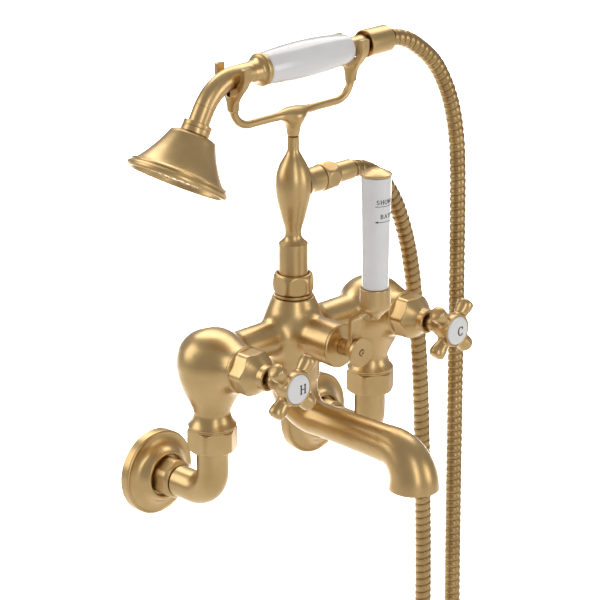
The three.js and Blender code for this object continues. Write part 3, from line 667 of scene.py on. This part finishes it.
def body_distance(points):
    """Both valves, the cross tubes, the hub with its barrel, and the hollow mouthed spout."""
    x, y, z = points.T
    distance = np.abs(x)
    past = distance - INLET_X
    valve = valve_distance(past, y, z)
    tube_axis = np.hypot(y - PLANE_Y, z - VALVE_Z)
    tube = capped(tube_axis - TUBE_RADIUS, past)
    from_axis = np.hypot(x, y - PLANE_Y)
    hub = tapering(from_axis, z, HUB, 76, HUB_TOP)
    at, gap = SPOUT.nearest(y, z)
    arm = np.hypot(gap, x) - SPOUT_RADIUS[0](at)
    arm = np.maximum(arm, MOUTH_FLOOR - z)
    front = PLANE_Y - y
    barrel = tapering(np.hypot(x, z - VALVE_Z), front, BARREL, 0, BARREL_LENGTH, 0.4)
    lower = blended(3, hub, arm)
    whole = blended(9, blended(7, lower, barrel), tube)
    whole = blended(6, whole, valve)
    mouth_axis = np.hypot(x, y - MOUTH_Y)
    recess = capped(mouth_axis - MOUTH_RADIUS, z - MOUTH_FLOOR - MOUTH_DEPTH, edge=0.5)
    return np.maximum(whole, -recess)


def hub_ring():
    """Thin bead between the hub's cone and the riser's hex collar."""
    return turned(corners([
        [13, 143.6], [14.6, 144.5, 0.2], [15.6, 144.7, 0.6], [15.6, 146.8, 0.6], [14.5, 147.1, 0.2],
        [13, 147.4]
    ]))


# ---- headworks, stems and cross handles ----

def headwork():
    washer = turned(corners([
        [17, 35], [19, 35.9, 0.4], [19, 37.3, 0.4], [17.6, 38, 0.3], [14, 38.2]
    ]))
    rows = corners([
        [16, 37.6], [17.9, 37.9, 0.2], [18.4, 38.5, 0.4], [18.4, 49.6, 0.8], [15.9, 51.9, 1.2]
    ])
    rows += through([[15.3, 52.6], [13.4, 54.7], [11.6, 56.8], [10.5, 58.2]])
    rows += corners([
        [10, 58.9], [10, 64.3, 0.6], [9.2, 64.9, 0.3], [8, 64.8, 0.3], [7.6, 64.2, 0.2],
        [7.6, 59.6]
    ])
    return combined(washer, faceted(rows, 19.0))


def stem():
    return turned(corners([[5.4, 55], [5.4, 70]]), 64)


SPOKE_PLANE = 88.5
SPOKE_REACH = 27.4
BELL = smooth_function([
    [6.8, 68.4], [7.3, 71.5], [8.3, 75], [10, 79], [11.6, 83], [12.8, 87.5], [13.4, 92], [13.5, 95.6]
])
SPOKE = smooth_function([
    [5.6, 4], [5, 11], [5.2, 13.8], [5.9, 17.2], [6.6, 20.8], [6.7, 23.2], [6.2, 25.6], [5, 27.2]
])


def handle_distance(points):
    """A bell with four spokes, a seat for the index disc and a bore for the stem."""
    x, y, z = points.T
    from_axis = np.hypot(x, y)
    bell = tapering(from_axis, z, BELL, 68.4, 95.3, 0.5)
    along = (np.abs(x) + np.abs(y)) * math.sqrt(0.5)
    beside = (np.abs(x) - np.abs(y)) * math.sqrt(0.5)
    spoke_axis = np.hypot(beside, z - SPOKE_PLANE)
    spoke = tapering(spoke_axis, along, SPOKE, 4, SPOKE_REACH, 2.4)
    whole = blended(2.6, bell, spoke)
    button_seat = capped(from_axis - 11.9, 93.9 - z, edge=0.2)
    stem_bore = capped(from_axis - 5.7, 60 - z, z - 78, edge=0.3)
    return np.maximum(whole, -np.minimum(button_seat, stem_bore))


BUTTON_DOME = [[10.4, 95.95], [9, 96.15], [5, 96.42], [0.4, 96.5]]
BUTTON_HEIGHT = smooth_function([(height, radius) for radius, height in BUTTON_DOME])


def index_button():
    return turned(corners([[11.6, 93.9], [11.6, 95.2, 0.4], [11, 95.75, 0.5]])
                  + through(BUTTON_DOME), 96)


# ---- diverter and its lever ----

def diverter_bonnet():
    """Slightly coned disc that closes the diverter's barrel."""
    return turned(corners([
        [15, 51.6], [17.6, 52.1, 0.2], [17.9, 52.4, 0.2], [17.9, 53.1, 0.5], [17.1, 53.7, 0.3],
        [8.2, 54.8, 0.5], [6, 54.9]
    ]), 128)


LEVER_AXIS = PLANE_Y - GRIP_Y
CUP_TOP = 172.6 - VALVE_Z
CUP = smooth_function([
    [3.6, 32], [4.6, 34], [7.4, 37], [10.2, 40], [11.5, 42], [11.9, 44.5], [11.9, 50], [11.9, 58]
])
STRAP_WIDTH = 12
STRAP_THICKNESS = 3.5
STRAP = Track((1, 67.8), (1, 0)).straight(23).bend(7, 54).straight(12)


def lever_distance(points):
    """The lever's neck, its disc with a seat for the screw, the bent strap and the grip's cup."""
    x, up, front = points.T
    from_axis = np.hypot(x, up)
    neck = capped(from_axis - 6.5, 54.9 - front, front - 72, edge=0.4)
    disc = capped(from_axis - 11.9, 72 - front, front - 75.3, edge=0.5)
    _, gap = STRAP.nearest(up, front)
    strap = capped(np.abs(x) - STRAP_WIDTH / 2, gap - STRAP_THICKNESS / 2)
    cup = tapering(np.hypot(x, front - LEVER_AXIS), up, CUP, 32, CUP_TOP, 0.4)
    whole = blended(5, blended(8, neck, strap), cup)
    whole = blended(1.2, whole, disc)
    screw_seat = capped(from_axis - 2.7, 73 - front, edge=0.15)
    return np.maximum(whole, -screw_seat)


def lever_screw():
    """Domed screw with a round recess."""
    rows = corners([[2.3, 72.8], [2.3, 75.6, 0.5], [1.8, 76.2, 0.4], [1.1, 76.3, 0.1], [1.1, 75]])
    return turned(rows, 48)


GRIP_OUTLINE = [[10.2, 173.2], [10.25, 176], [10.45, 190], [10.85, 212], [11.35, 240], [11.7, 258]]
GRIP_RADIUS = smooth_function(GRIP_OUTLINE)
GRIP_MEAN_RADIUS = 11.3


def lever_grip():
    rows = corners([[8.4, 172.7], [10, 172.8, 0.3], [10.2, 173.2]])[:-1] + through(GRIP_OUTLINE)
    return turned(rows + corners([[11.7, 261.6], [11.7, 262, 0.5], [10.2, 262.5]]))


def lever_cap():
    return turned(corners([
        [10, 262.6], [12, 262.7, 0.3], [12.1, 264, 0.4], [11.4, 264.4, 0.4], [5.2, 267.5, 1],
        [4, 268.1, 0.8], [1, 268.5]
    ]))


# ---- riser, cradle and hose outlet ----

def riser_collar():
    rows = through([
        [14.2, 147.4], [15.3, 148], [16.3, 149.8], [16.9, 152.6], [17.05, 155.4], [16.8, 158.4],
        [16, 161], [14.8, 163.1]
    ])
    mouth = corners([[14, 163.5], [13.1, 163.6, 0.3], [12.5, 163, 0.2], [12.4, 160]])
    return faceted(rows + mouth, 17.5, math.pi / 6)


def riser():
    foot = corners([[11, 147.6], [11.7, 148.4], [11.7, 188.1, 0.3], [11.2, 188.6]])
    body = through([
        [10.9, 188.8], [9.3, 190.1], [7.9, 191.8], [7, 193.8], [6.7, 196.4], [6.9, 199.6], [7.8, 203.2],
        [9, 207], [11, 214.8], [13, 223], [14.3, 232], [14.4, 238], [13.6, 244.4], [11.5, 251],
        [8.8, 256.4], [6.3, 260.6], [5, 263.8], [4.75, 266.5]
    ])
    return turned(foot + body + corners([[4.75, 275.1, 0.2], [4.3, 275.3]]))


def outlet_spigot():
    rows = through([[13.2, 8], [11.9, 11.6], [10.9, 14], [10.5, 17]])
    return turned(rows + corners([[10.5, 28.2, 0.5], [10, 28.8, 0.2], [7.4, 28.9]]))


def outlet_nut():
    rows = corners([[8.8, 29.1], [10.4, 29.2, 0.3], [10.8, 29.6]])
    rows += through([
        [11, 29.8], [12, 32.4], [12.4, 35.4], [12.3, 38], [11.8, 41], [10.7, 43.6], [9.7, 45.2]
    ])
    return faceted(rows + corners([[9.2, 45.5, 0.2], [7.6, 45.6]]), 12.7)


def ferrule():
    rows = corners([[6, 44], [8.4, 45.2, 0.2], [8.4, 63.8, 0.4], [7.9, 64.4, 0.2], [6.8, 64.6]])
    return turned(rows, 72)


BAR_RADIUS = 3.3
BAR_Z = 294.3
BAR_BEND = 17
FORK_Z = 338
FORK_INNER = 12.4
FORK_THICKNESS = 4.2
FORK_TIP = 343.5
BAR_END = FORK_Z - FORK_INNER - 2
BAR = Track((-FORK_X, BAR_END), (0, -1)).straight(BAR_END - BAR_Z - BAR_BEND).bend(BAR_BEND, 90)
BAR.straight(2 * (FORK_X - BAR_BEND)).bend(BAR_BEND, 90).straight(BAR_END - BAR_Z - BAR_BEND)
BOSS = smooth_function([
    [5.2, 275.6], [5.3, 278], [5.8, 281.6], [6.6, 285.4], [7.4, 289], [7.6, 292], [7, 295]
])
WEB_FOOT = 309
WEB_TOP = 330
WEB_HALF_THICKNESS = 3.2
WEB = smooth_function([
    [3.3, WEB_FOOT], [3.9, 312.4], [5.4, 316.2], [8.2, 320.4], [10.6, 324.2], [11.6, WEB_TOP]
])


def cradle_distance(points):
    """Bar that swells over its boss, and at each end a fork on a tapering web."""
    x, y, z = points.T
    side = y - PLANE_Y
    _, gap = BAR.nearest(np.abs(x) * -1, z)
    swell = np.exp(-(x / 13) ** 2)
    height, width = BAR_RADIUS + 1.5 * swell, BAR_RADIUS + 3.6 * swell
    bar = (np.hypot(gap / height, side / width) - 1) * height
    boss = tapering(np.hypot(x, side), z, BOSS, 275.6, 293.5, 2)
    from_fork = np.abs(np.abs(x) - FORK_X)
    tube = np.hypot(side, z - FORK_Z)
    around = np.where(z > FORK_Z, np.abs(side), tube) - FORK_INNER - FORK_THICKNESS / 2
    thick = np.abs(around) - FORK_THICKNESS / 2
    strap = capped(np.maximum(thick, from_fork - FORK_HALF_WIDTH), z - FORK_TIP, edge=0.5)
    half_width, slope = WEB
    slant = np.sqrt(1 + slope(z) ** 2)
    web = capped((np.abs(side) - half_width(z)) / slant, from_fork - WEB_HALF_THICKNESS, z - WEB_TOP,
                 edge=1.6)
    web = np.maximum(np.maximum(web, FORK_INNER + 1 - tube), WEB_FOOT - z)
    return blended(4, blended(9, bar, boss), blended(3, web, strap))


# ---- handset ----

def grip_collar():
    flare = through([
        [8.4, -47.2], [8.7, -44], [8.9, -41.4], [9.5, -39.6], [10.8, -38.2], [12.2, -37.3]
    ])
    rim = corners([
        [12.6, -36.9], [13, -36.2, 0.6], [13, -35.3, 0.2], [12.7, -35.1, 0.1], [13, -34.9, 0.2],
        [13, -33.7, 0.5], [12, -33.1]
    ])
    return turned(flare + rim)


def handset_grip():
    rows = corners([[10.6, -33.1], [12.3, -32.9, 0.3], [12.6, -32.2]])[:-1]
    rows += through([
        [12.6, -32.2], [13.3, -26], [14.2, -14], [14.8, 0], [15, 11], [14.8, 22], [14.1, 36],
        [12.9, 49], [12.2, 54.4]
    ])
    return turned(rows + corners([
        [11.7, 54.9], [11.7, 55.4, 0.2], [11.3, 58.2, 1], [9.4, 59.5, 0.4], [8, 59.6]
    ]))


def handset_tube():
    return turned(corners([[7.9, 59], [7.9, 77.6, 0.3], [7, 78.4, 0.3], [7, 88]]))


def handset_hose_nut():
    rows = corners([
        [7.2, 86], [9.8, 85.8, 0.2], [9.8, 79.4, 0.3], [10.1, 78.8, 0.2], [11, 78.8, 0.4],
        [11.3, 79.4, 0.3], [11.3, 104, 0.8], [8.8, 106.4, 0.3], [8.4, 107.4, 0.3], [7.2, 107.6]
    ])
    return turned(rows)


NECK_RADIUS = 8.3
NECK = Track((-47.8, HANDSET_Z), (-1, 0)).straight(12).bend(41, 60).straight(10)


def gooseneck():
    """Bent tube with a fine seam above the rose."""
    seam = NECK.length - 12
    rows = [[NECK_RADIUS, at] for at in np.linspace(-0.6, seam - 0.5, 60)]
    rows += [[NECK_RADIUS - depth, seam + at]
             for depth, at in ((0, -0.25), (0.3, -0.12), (0.3, 0.12), (0, 0.25))]
    rows += [[NECK_RADIUS, at] for at in np.linspace(seam + 0.8, NECK.length + 0.5, 12)]
    return swept(NECK, rows, wall_plane)


def head_place():
    return Place((NECK.end[0], PLANE_Y, NECK.end[1]),
                 axis=(NECK.heading[0], 0, NECK.heading[1]), side=(0, 1, 0))


def head_collar():
    rows = corners([
        [8, 0.3], [11.1, 0.35, 0.3], [11.4, 0.9, 0.3], [11.4, 3.9, 0.25], [11, 4.2, 0.1],
        [11.4, 4.5, 0.25], [11.4, 8.6, 0.3], [10.4, 9.1]
    ])
    return turned(rows)


def head_shell():
    outer = corners([[9.5, 9.2], [14.6, 9.4, 1.2], [18.2, 11, 1.8], [19.3, 13.4]])
    outer += through([
        [19.8, 14.8], [22.2, 20], [25.3, 26], [28.7, 31.6], [32.2, 36.6], [34.6, 39.6]
    ])
    bead = corners([
        [35.4, 40.2], [37.2, 40.5, 0.6], [38.1, 41.2, 0.5], [38.1, 42.2, 0.5], [37.7, 42.9, 0.3],
        [39, 43.4, 0.6], [40.1, 44.8, 1], [40.1, 46.6, 1.2], [39.2, 48.2, 0.6], [37.4, 48.1, 0.4],
        [36.9, 46.8]
    ])
    return turned(outer + bead + [np.array([36.6, 43]), np.array([30, 42.6])], 128)


def spray_plate():
    """Slightly domed plate with a central disc and rings of low nozzles."""
    rows = corners([
        [36.5, 42.4], [36.5, 43.8, 0.4], [35.4, 44.2, 0.4], [34.6, 43.6, 0.3], [30, 44.4, 1],
        [12.4, 45.1, 0.4], [11.8, 44.7, 0.2], [11.2, 45.2, 0.3], [2, 45.4]
    ])
    nozzle = corners([[1.2, 43], [1.2, 45.6, 0.3], [0.9, 45.9, 0.2], [0.5, 45.7, 0.1], [0.45, 45]])
    shapes = [turned(rows, 96)]
    for count, radius in ((1, 0), (6, 7), (12, 16), (18, 22), (24, 28)):
        for i in range(count):
            angle = 2 * math.pi * i / count
            shift = np.array([radius * math.cos(angle), radius * math.sin(angle), -radius / 60])
            points, faces = turned(nozzle, 10)
            shapes.append((points + shift, faces))
    return combined(*shapes)


# ---- lettering ----

THICK, THIN, SERIF = 0.19, 0.095, 0.09
DEPTH = 0.12


def arc_points(cx, cy, rx, ry, start, end, count):
    angle = np.radians(np.linspace(start, end, count))
    return np.column_stack([cx + rx * np.cos(angle), cy + ry * np.sin(angle)])


def bar(x0, y0, x1, y1, width=THIN):
    return [([(x0, y0), (x1, y1)], width)]


def stem_stroke(x):
    """A thick stem with a serif at each end."""
    feet = [bar(x - 0.17, y, x + 0.17, y, SERIF)[0] for y in (0.03, 0.97)]
    return bar(x, 0, x, 1, THICK) + feet


def curved(points):
    """A stroke that is thick where it runs up and thin where it runs across."""
    points = np.array(points, float)
    heading = np.gradient(points, axis=0)
    steep = np.abs(heading[:, 1]) / np.maximum(np.hypot(*heading.T), 1e-9)
    return [(points, THIN + (THICK - THIN) * steep)]


# Each letter's strokes in a unit square, as (points, width).
LETTERS = {
    "H": stem_stroke(0.2) + stem_stroke(0.8) + bar(0.2, 0.5, 0.8, 0.5),
    "C": curved(arc_points(0.52, 0.5, 0.4, 0.47, 42, 318, 28))
    + bar(0.83, 0.98, 0.83, 0.66) + bar(0.83, 0.24, 0.83, 0.1, THIN * 0.6),
    "S": curved(through([[0.78, 0.8], [0.55, 0.965], [0.28, 0.86], [0.3, 0.62], [0.55, 0.49],
                         [0.76, 0.32], [0.66, 0.08], [0.42, 0.035], [0.22, 0.2]], 5)),
    "O": curved(arc_points(0.5, 0.5, 0.38, 0.47, 0, 360, 33)),
    "W": bar(0.06, 1, 0.3, 0, THICK) + bar(0.3, 0, 0.5, 1) + bar(0.5, 1, 0.72, 0, THICK)
    + bar(0.72, 0, 0.94, 1) + bar(-0.06, 0.97, 0.2, 0.97, SERIF) + bar(0.8, 0.97, 1.06, 0.97, SERIF),
    "E": stem_stroke(0.28) + bar(0.2, 0.04, 0.8, 0.04) + bar(0.2, 0.5, 0.66, 0.5)
    + bar(0.2, 0.96, 0.78, 0.96),
    "R": stem_stroke(0.25) + curved(through([[0.25, 0.96], [0.58, 0.95], [0.74, 0.74],
                                             [0.58, 0.53], [0.25, 0.5]], 6))
    + bar(0.5, 0.5, 0.86, 0, THICK * 0.8) + bar(0.76, 0.03, 0.98, 0.03, SERIF),
    "B": stem_stroke(0.25) + curved(through([[0.25, 0.96], [0.58, 0.95], [0.72, 0.75],
                                             [0.58, 0.55], [0.25, 0.52]], 6))
    + curved(through([[0.25, 0.52], [0.62, 0.5], [0.8, 0.27], [0.62, 0.05], [0.25, 0.04]], 6)),
    "A": bar(0.12, 0, 0.5, 1) + bar(0.5, 1, 0.86, 0, THICK) + bar(0.24, 0.34, 0.74, 0.34)
    + bar(0, 0.03, 0.26, 0.03, SERIF) + bar(0.7, 0.03, 1, 0.03, SERIF),
    "T": stem_stroke(0.5) + bar(0.08, 0.96, 0.92, 0.96) + bar(0.08, 0.98, 0.08, 0.8)
    + bar(0.92, 0.98, 0.92, 0.8),
}


def ribbon(points, width, surface, height=0.09):
    """A thin raised band along a line, laid on a surface that maps (u, v, height) points."""
    points = np.array(points, float)
    if len(points) == 2:
        count = max(5, int(np.hypot(*(points[1] - points[0])) * 1.5))
        points = points[0] + np.outer(np.linspace(0, 1, count), points[1] - points[0])
    width = np.broadcast_to(np.asarray(width, float), len(points))
    heading = np.gradient(points, axis=0)
    heading /= np.maximum(np.hypot(*heading.T), 1e-9)[:, None]
    out = np.column_stack([-heading[:, 1], heading[:, 0]]) * width[:, None] / 2
    edges = [(points + side * out, level) for side, level in
             ((1, height), (-1, height), (-1, -DEPTH), (1, -DEPTH))]
    lines = [surface(edge[:, 0], edge[:, 1], np.full(len(edge), level)) for edge, level in edges]
    return skin_of_rings(np.stack(lines, 1))


def word(text, size, advance, centre, surface):
    """Letters of that size, that far apart, about a centre (u, v)."""
    shapes = []
    for i, letter in enumerate(text):
        left = centre[0] + (i - len(text) / 2) * advance + (advance - size * 0.95) / 2
        bottom = centre[1] - size / 2
        for points, width in LETTERS[letter]:
            spots = np.array(points, float) * size * np.array([0.95, 1]) + (left, bottom)
            shapes.append(ribbon(spots, np.asarray(width) * size, surface))
    return shapes


def arrow(length, centre, direction, surface):
    u, v = centre
    start, end = u - direction * length / 2, u + direction * length / 2
    shaft = ribbon([(start, v), (end, v)], 0.42, surface)
    neck = end - direction * 2.2
    head = ribbon([(neck, v), (neck + direction * 0.8, v), (end, v)], [1.6, 1.2, 0.2], surface)
    return [shaft, head]


def on_grip(u, v, height):
    """Wraps u round the lever's grip, from the side that faces the room; v is Z."""
    radius = GRIP_RADIUS[0](v) + height
    angle = u / GRIP_MEAN_RADIUS
    return np.column_stack([radius * np.sin(angle), GRIP_Y - radius * np.cos(angle), v])


def on_button(x):
    def laid(u, v, height):
        front = BUTTON_HEIGHT[0](np.hypot(u, v)) + height
        return np.column_stack([x + u, PLANE_Y - front, VALVE_Z + v])
    return laid


# ---- hose ----

HOSE_PITCH = 6.5
# The hose's middle line as (x, z) in metres, from the outlet's sleeve to the handset's nut.
HOSE_ROUTE = [
    (0.0635, 0.235), (0.0698, 0.2345), (0.0775, 0.2328), (0.085, 0.2298), (0.100, 0.2198),
    (0.1114, 0.2064), (0.1205, 0.191), (0.131, 0.1646), (0.1383, 0.137), (0.1457, 0.091), (0.151, 0.045),
    (0.155, -0.014), (0.158, -0.080), (0.160, -0.145), (0.1606, -0.200), (0.1606, -0.246),
    (0.155, -0.271), (0.142, -0.290), (0.128, -0.310), (0.123, -0.333), (0.1285, -0.357),
    (0.1435, -0.3765), (0.180, -0.390), (0.2165, -0.3765), (0.2315, -0.357), (0.237, -0.333),
    (0.232, -0.310), (0.218, -0.290), (0.205, -0.271), (0.1994, -0.246), (0.1994, -0.200),
    (0.1984, -0.130), (0.1972, 0.020), (0.1962, 0.128), (0.1946, 0.210), (0.1912, 0.242),
    (0.1825, 0.2725), (0.1635, 0.3044), (0.1343, 0.3274), (0.1206, 0.333), (0.1092, 0.3352),
]
# One turn of the interlocked strip, as [share of the pitch, radius].
STRIP = [(0.0, 6.05), (0.05, 6.1), (0.10, 6.85), (0.16, 7.0), (0.52, 7.0), (0.58, 6.72),
         (0.90, 6.66), (0.95, 6.1)]


def hose_shape(around=24):
    line = np.array(through(np.array(HOSE_ROUTE) / MM, 16))
    along = np.concatenate([[0], np.cumsum(np.hypot(*np.diff(line, axis=0).T))])
    length = along[-1]
    share_round = np.arange(around) / around
    angle = share_round * 2 * math.pi
    rings = []

    def spot_at(at):
        return np.column_stack([np.interp(at, along, line[:, i]) for i in (0, 1)])

    for turn in range(-1, int(length / HOSE_PITCH) + 1):
        for share, radius in STRIP:
            at = np.clip((turn + share + share_round) * HOSE_PITCH, 0, length)
            if at.max() <= 0 or at.min() >= length:
                continue
            ahead = spot_at(at + 1) - spot_at(at - 1)
            ahead /= np.hypot(*ahead.T)[:, None]
            out = np.column_stack([-ahead[:, 1], ahead[:, 0]])
            uv = spot_at(at) + out * (radius * np.sin(angle))[:, None]
            rings.append(np.column_stack([uv[:, 0], PLANE_Y + radius * np.cos(angle), uv[:, 1]]))
    path = [(u * MM, PLANE_Y * MM, v * MM) for u, v in [*line[::4], line[-1]]]
    return helical_skin(np.array(rings), around), length * MM, path


def helical_skin(rings, around):
    """Closes rings whose last point runs on to the first point one whole turn later."""
    points, faces = skin_of_rings(rings)
    shifted = []
    for face in faces:
        if len(face) == 4 and face[1] % around == 0:
            ahead = [i + len(STRIP) * around for i in face[1:3]]
            if max(ahead) >= len(rings) * around:
                continue
            face = [face[0], *ahead, face[3]]
        shifted.append(face)
    return points, shifted


# ---- making the faucet ----

def make_hose():
    shape, length, path = hose_shape()
    hose = add_piece("shower_hose", shape, HOSE_METAL, None, ["hose"])
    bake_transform(hose)
    return hose, length, path


def make_wall_connections():
    for side, direction in SIDES:
        x = direction * INLET_X
        pipe = upright(x, PLANE_Y)
        brass_set(roomward(x, 0, 0), "root", "y",
                  (f"flange_{side}", wall_flange(), f"wall_flange_{side}"),
                  (f"backnut_{side}", wall_nut(), f"wall_nut_{side}"))
        brass_piece(f"pipe_elbow_{side}", elbow(x), "root", [f"elbow_{side}"])
        brass_piece(f"nut_union_{side}", placed(pipe, union_nut()), "root", [f"union_nut_{side}"])
        brass_piece(f"union_lip_{side}", placed(pipe, union_lip()), "root")


def make_cast_body():
    low = (-INLET_X - 29, MOUTH_Y - 22, MOUTH_FLOOR - 2)
    high = (INLET_X + 29, PLANE_Y + 29, HUB_TOP + 2)
    nodes = [f"{kind}_{side}" for kind in ("valve_body", "cross_tube") for side, _ in SIDES]
    step = 0.75
    brass_piece("cast_body", cast(body_distance, low, high, step), "root", [*nodes, "hub_body", "spout"])
    brass_piece("hub_ring", placed(upright(0, PLANE_Y), hub_ring()), "root")


def make_valve_trim():
    step = 0.45
    handle = cast(handle_distance, (-29, -29, 67), (29, 29, 97), step)
    handles = {"left": ("hot_handle", "H", (3.6, -0.6)), "right": ("cold_handle", "C", (2.2, -0.6))}
    for side, direction in SIDES:
        x = direction * INLET_X
        front = roomward(x, PLANE_Y, VALVE_Z)
        body, letter, centre = handles[side]
        brass_piece(f"bonnet_{side}", placed(front, headwork()), "root", [f"headwork_{side}"], "y")
        brass_set(front, body, "y", (f"stem_{side}", stem(), f"spindle_{side}"),
                  (f"cross_{side}", handle, f"handle_cross_{side}"))
        add_piece(f"index_{side}", placed(front, index_button()), CERAMIC, body,
                  [f"index_button_{side}"])
        shapes = word(letter, 7.4, 7.4, centre, on_button(x))
        add_piece(f"mark_{side}", combined(*shapes), INK, body)


def make_diverter():
    front = roomward(0, PLANE_Y, VALVE_Z)
    lever = "diverter_lever"
    brass_piece("bonnet_diverter", placed(front, diverter_bonnet()), "root", ["diverter_bonnet"], "y")
    step = 0.45
    arm = cast(lever_distance, (-15, -15, 55), (15, CUP_TOP + 1, 103), step)
    brass_piece("lever_body", placed(front, arm), lever, ["lever_arm"], "z")
    brass_piece("screw_lever", placed(front, lever_screw()), lever, ["lever_screw"], "y")
    grip = upright(0, GRIP_Y)
    add_piece("grip_lever", placed(grip, lever_grip()), CERAMIC, lever, ["lever_grip"])
    brass_piece("cap_lever", placed(grip, lever_cap()), lever, ["lever_cap"])
    shapes = word("SHOWER", 3.3, 3.3, (0.4, 244.0), on_grip) + arrow(20, (0, 240.6), 1, on_grip)
    shapes += word("BATH", 3.3, 3.3, (0.4, 232.6), on_grip) + arrow(20, (0, 228.2), -1, on_grip)
    add_piece("marks_lever", combined(*shapes), INK, lever)


def make_riser():
    axis = upright(0, PLANE_Y)
    outlet = rightward(OUTLET_Z)
    body = "riser_set"
    brass_piece("collar_riser", placed(axis, riser_collar()), "root", ["riser_collar"])
    column = combined(placed(axis, riser()), placed(outlet, outlet_spigot()))
    brass_piece("column_riser", column, body, ["riser"])
    step = 0.5
    low = (-FORK_X - FORK_HALF_WIDTH - 1, PLANE_Y - 19, 274)
    high = (FORK_X + FORK_HALF_WIDTH + 1, PLANE_Y + 19, FORK_TIP + 1)
    brass_piece("cradle_riser", cast(cradle_distance, low, high, step), body, ["cradle"])
    return brass_set(outlet, body, "x", ("nut_outlet", outlet_nut(), "outlet_nut"),
                     ("ferrule_outlet", ferrule(), "hose_tail_outlet"))


def make_handset():
    axis = rightward(HANDSET_Z)
    body = "handset"
    brass_piece("neck_handset", gooseneck(), body, ["gooseneck"], "x")
    brass_piece("collar_grip", placed(axis, grip_collar()), body, ["grip_collar"], "x")
    add_piece("grip_handset", placed(axis, handset_grip()), CERAMIC, body,
              ["handset_grip"])
    _, nut = brass_set(axis, body, "x", ("tube_handset", handset_tube(), "handset_tube"),
                       ("nut_handset", handset_hose_nut(), "handset_hose_nut"))
    brass_set(head_place(), body, "z", ("collar_head", head_collar(), "head_collar"),
              ("shell_head", head_shell(), "head_shell"),
              ("plate_head", spray_plate(), "spray_plate"))
    return [nut]


def dress_hidden_nodes():
    """Gives the CAD nodes that stay their materials."""
    slots = {row["node"]: row["material_slot"] for row in frame["record"]["subparts"]}
    for name, node in frame["nodes"].items():
        if node.hide_render:
            continue
        node.data.materials.clear()
        node.data.materials.append(SLOT_MATERIALS[slots[name]])


def make_stage():
    mesh = bpy.data.meshes.new("floor")
    reach, level = 8.0, CAD_BOX[0].z - 0.004
    square = ((-1, -1), (1, -1), (1, 1), (-1, 1))
    mesh.from_pydata([(x * reach, y * reach, level) for x, y in square], [], [[0, 1, 2, 3]])
    floor = bpy.data.objects.new("floor", mesh)
    mesh.materials.append(plain("pale_floor", (0.93, 0.93, 0.93), (0.95, 0.95, 0.95), 0.8, grain=3))
    bpy.context.collection.objects.link(floor)


def add_light(name, place, target, size, radiance, spread=180):
    """A softbox; radiance is how bright it looks, where white paper in the open is about 1."""
    data = bpy.data.lights.new(name, "AREA")
    data.shape = "RECTANGLE"
    data.size, data.size_y = size
    data.energy = radiance * math.pi * size[0] * size[1]
    data.spread = math.radians(spread)
    light = bpy.data.objects.new(name, data)
    light.location = place
    aim = Vector(target) - Vector(place)
    light.rotation_euler = aim.to_track_quat("-Z", "Y").to_euler()
    bpy.context.collection.objects.link(light)


def make_lights():
    """Lights the floor behind the faucet brightly, and the faucet with four softboxes."""
    world = bpy.data.worlds.new("studio")
    bpy.context.scene.world = world
    world.use_nodes = True
    background = world.node_tree.nodes["Background"]
    background.inputs["Color"].default_value = (1, 1, 1, 1)
    background.inputs["Strength"].default_value = 0.4
    heart = (0, -0.1, 0.12)
    add_light("backdrop", (1.95, 1.95, 0.95), (1.95, 1.95, 0), (3.4, 3.4), 3.4, 70)
    add_light("top", (1.0, 0.9, 1.75), heart, (2.6, 1.3), 2.5)
    add_light("left", (-1.4, 1.3, 1.0), heart, (1.2, 1.5), 2.0)
    add_light("right", (0.9, -1.9, 0.45), heart, (0.7, 1.0), 2.6)
    add_light("strip", (-0.95, -2.0, 0.9), heart, (0.45, 1.9), 3.4)


add_camera()
hose_made = make_hose()
make_wall_connections()
make_cast_body()
make_valve_trim()
make_diverter()
fittings = make_riser() + make_handset()
dress_hidden_nodes()
make_stage()
make_lights()
bpy.context.scene.view_settings.view_transform = "Standard"
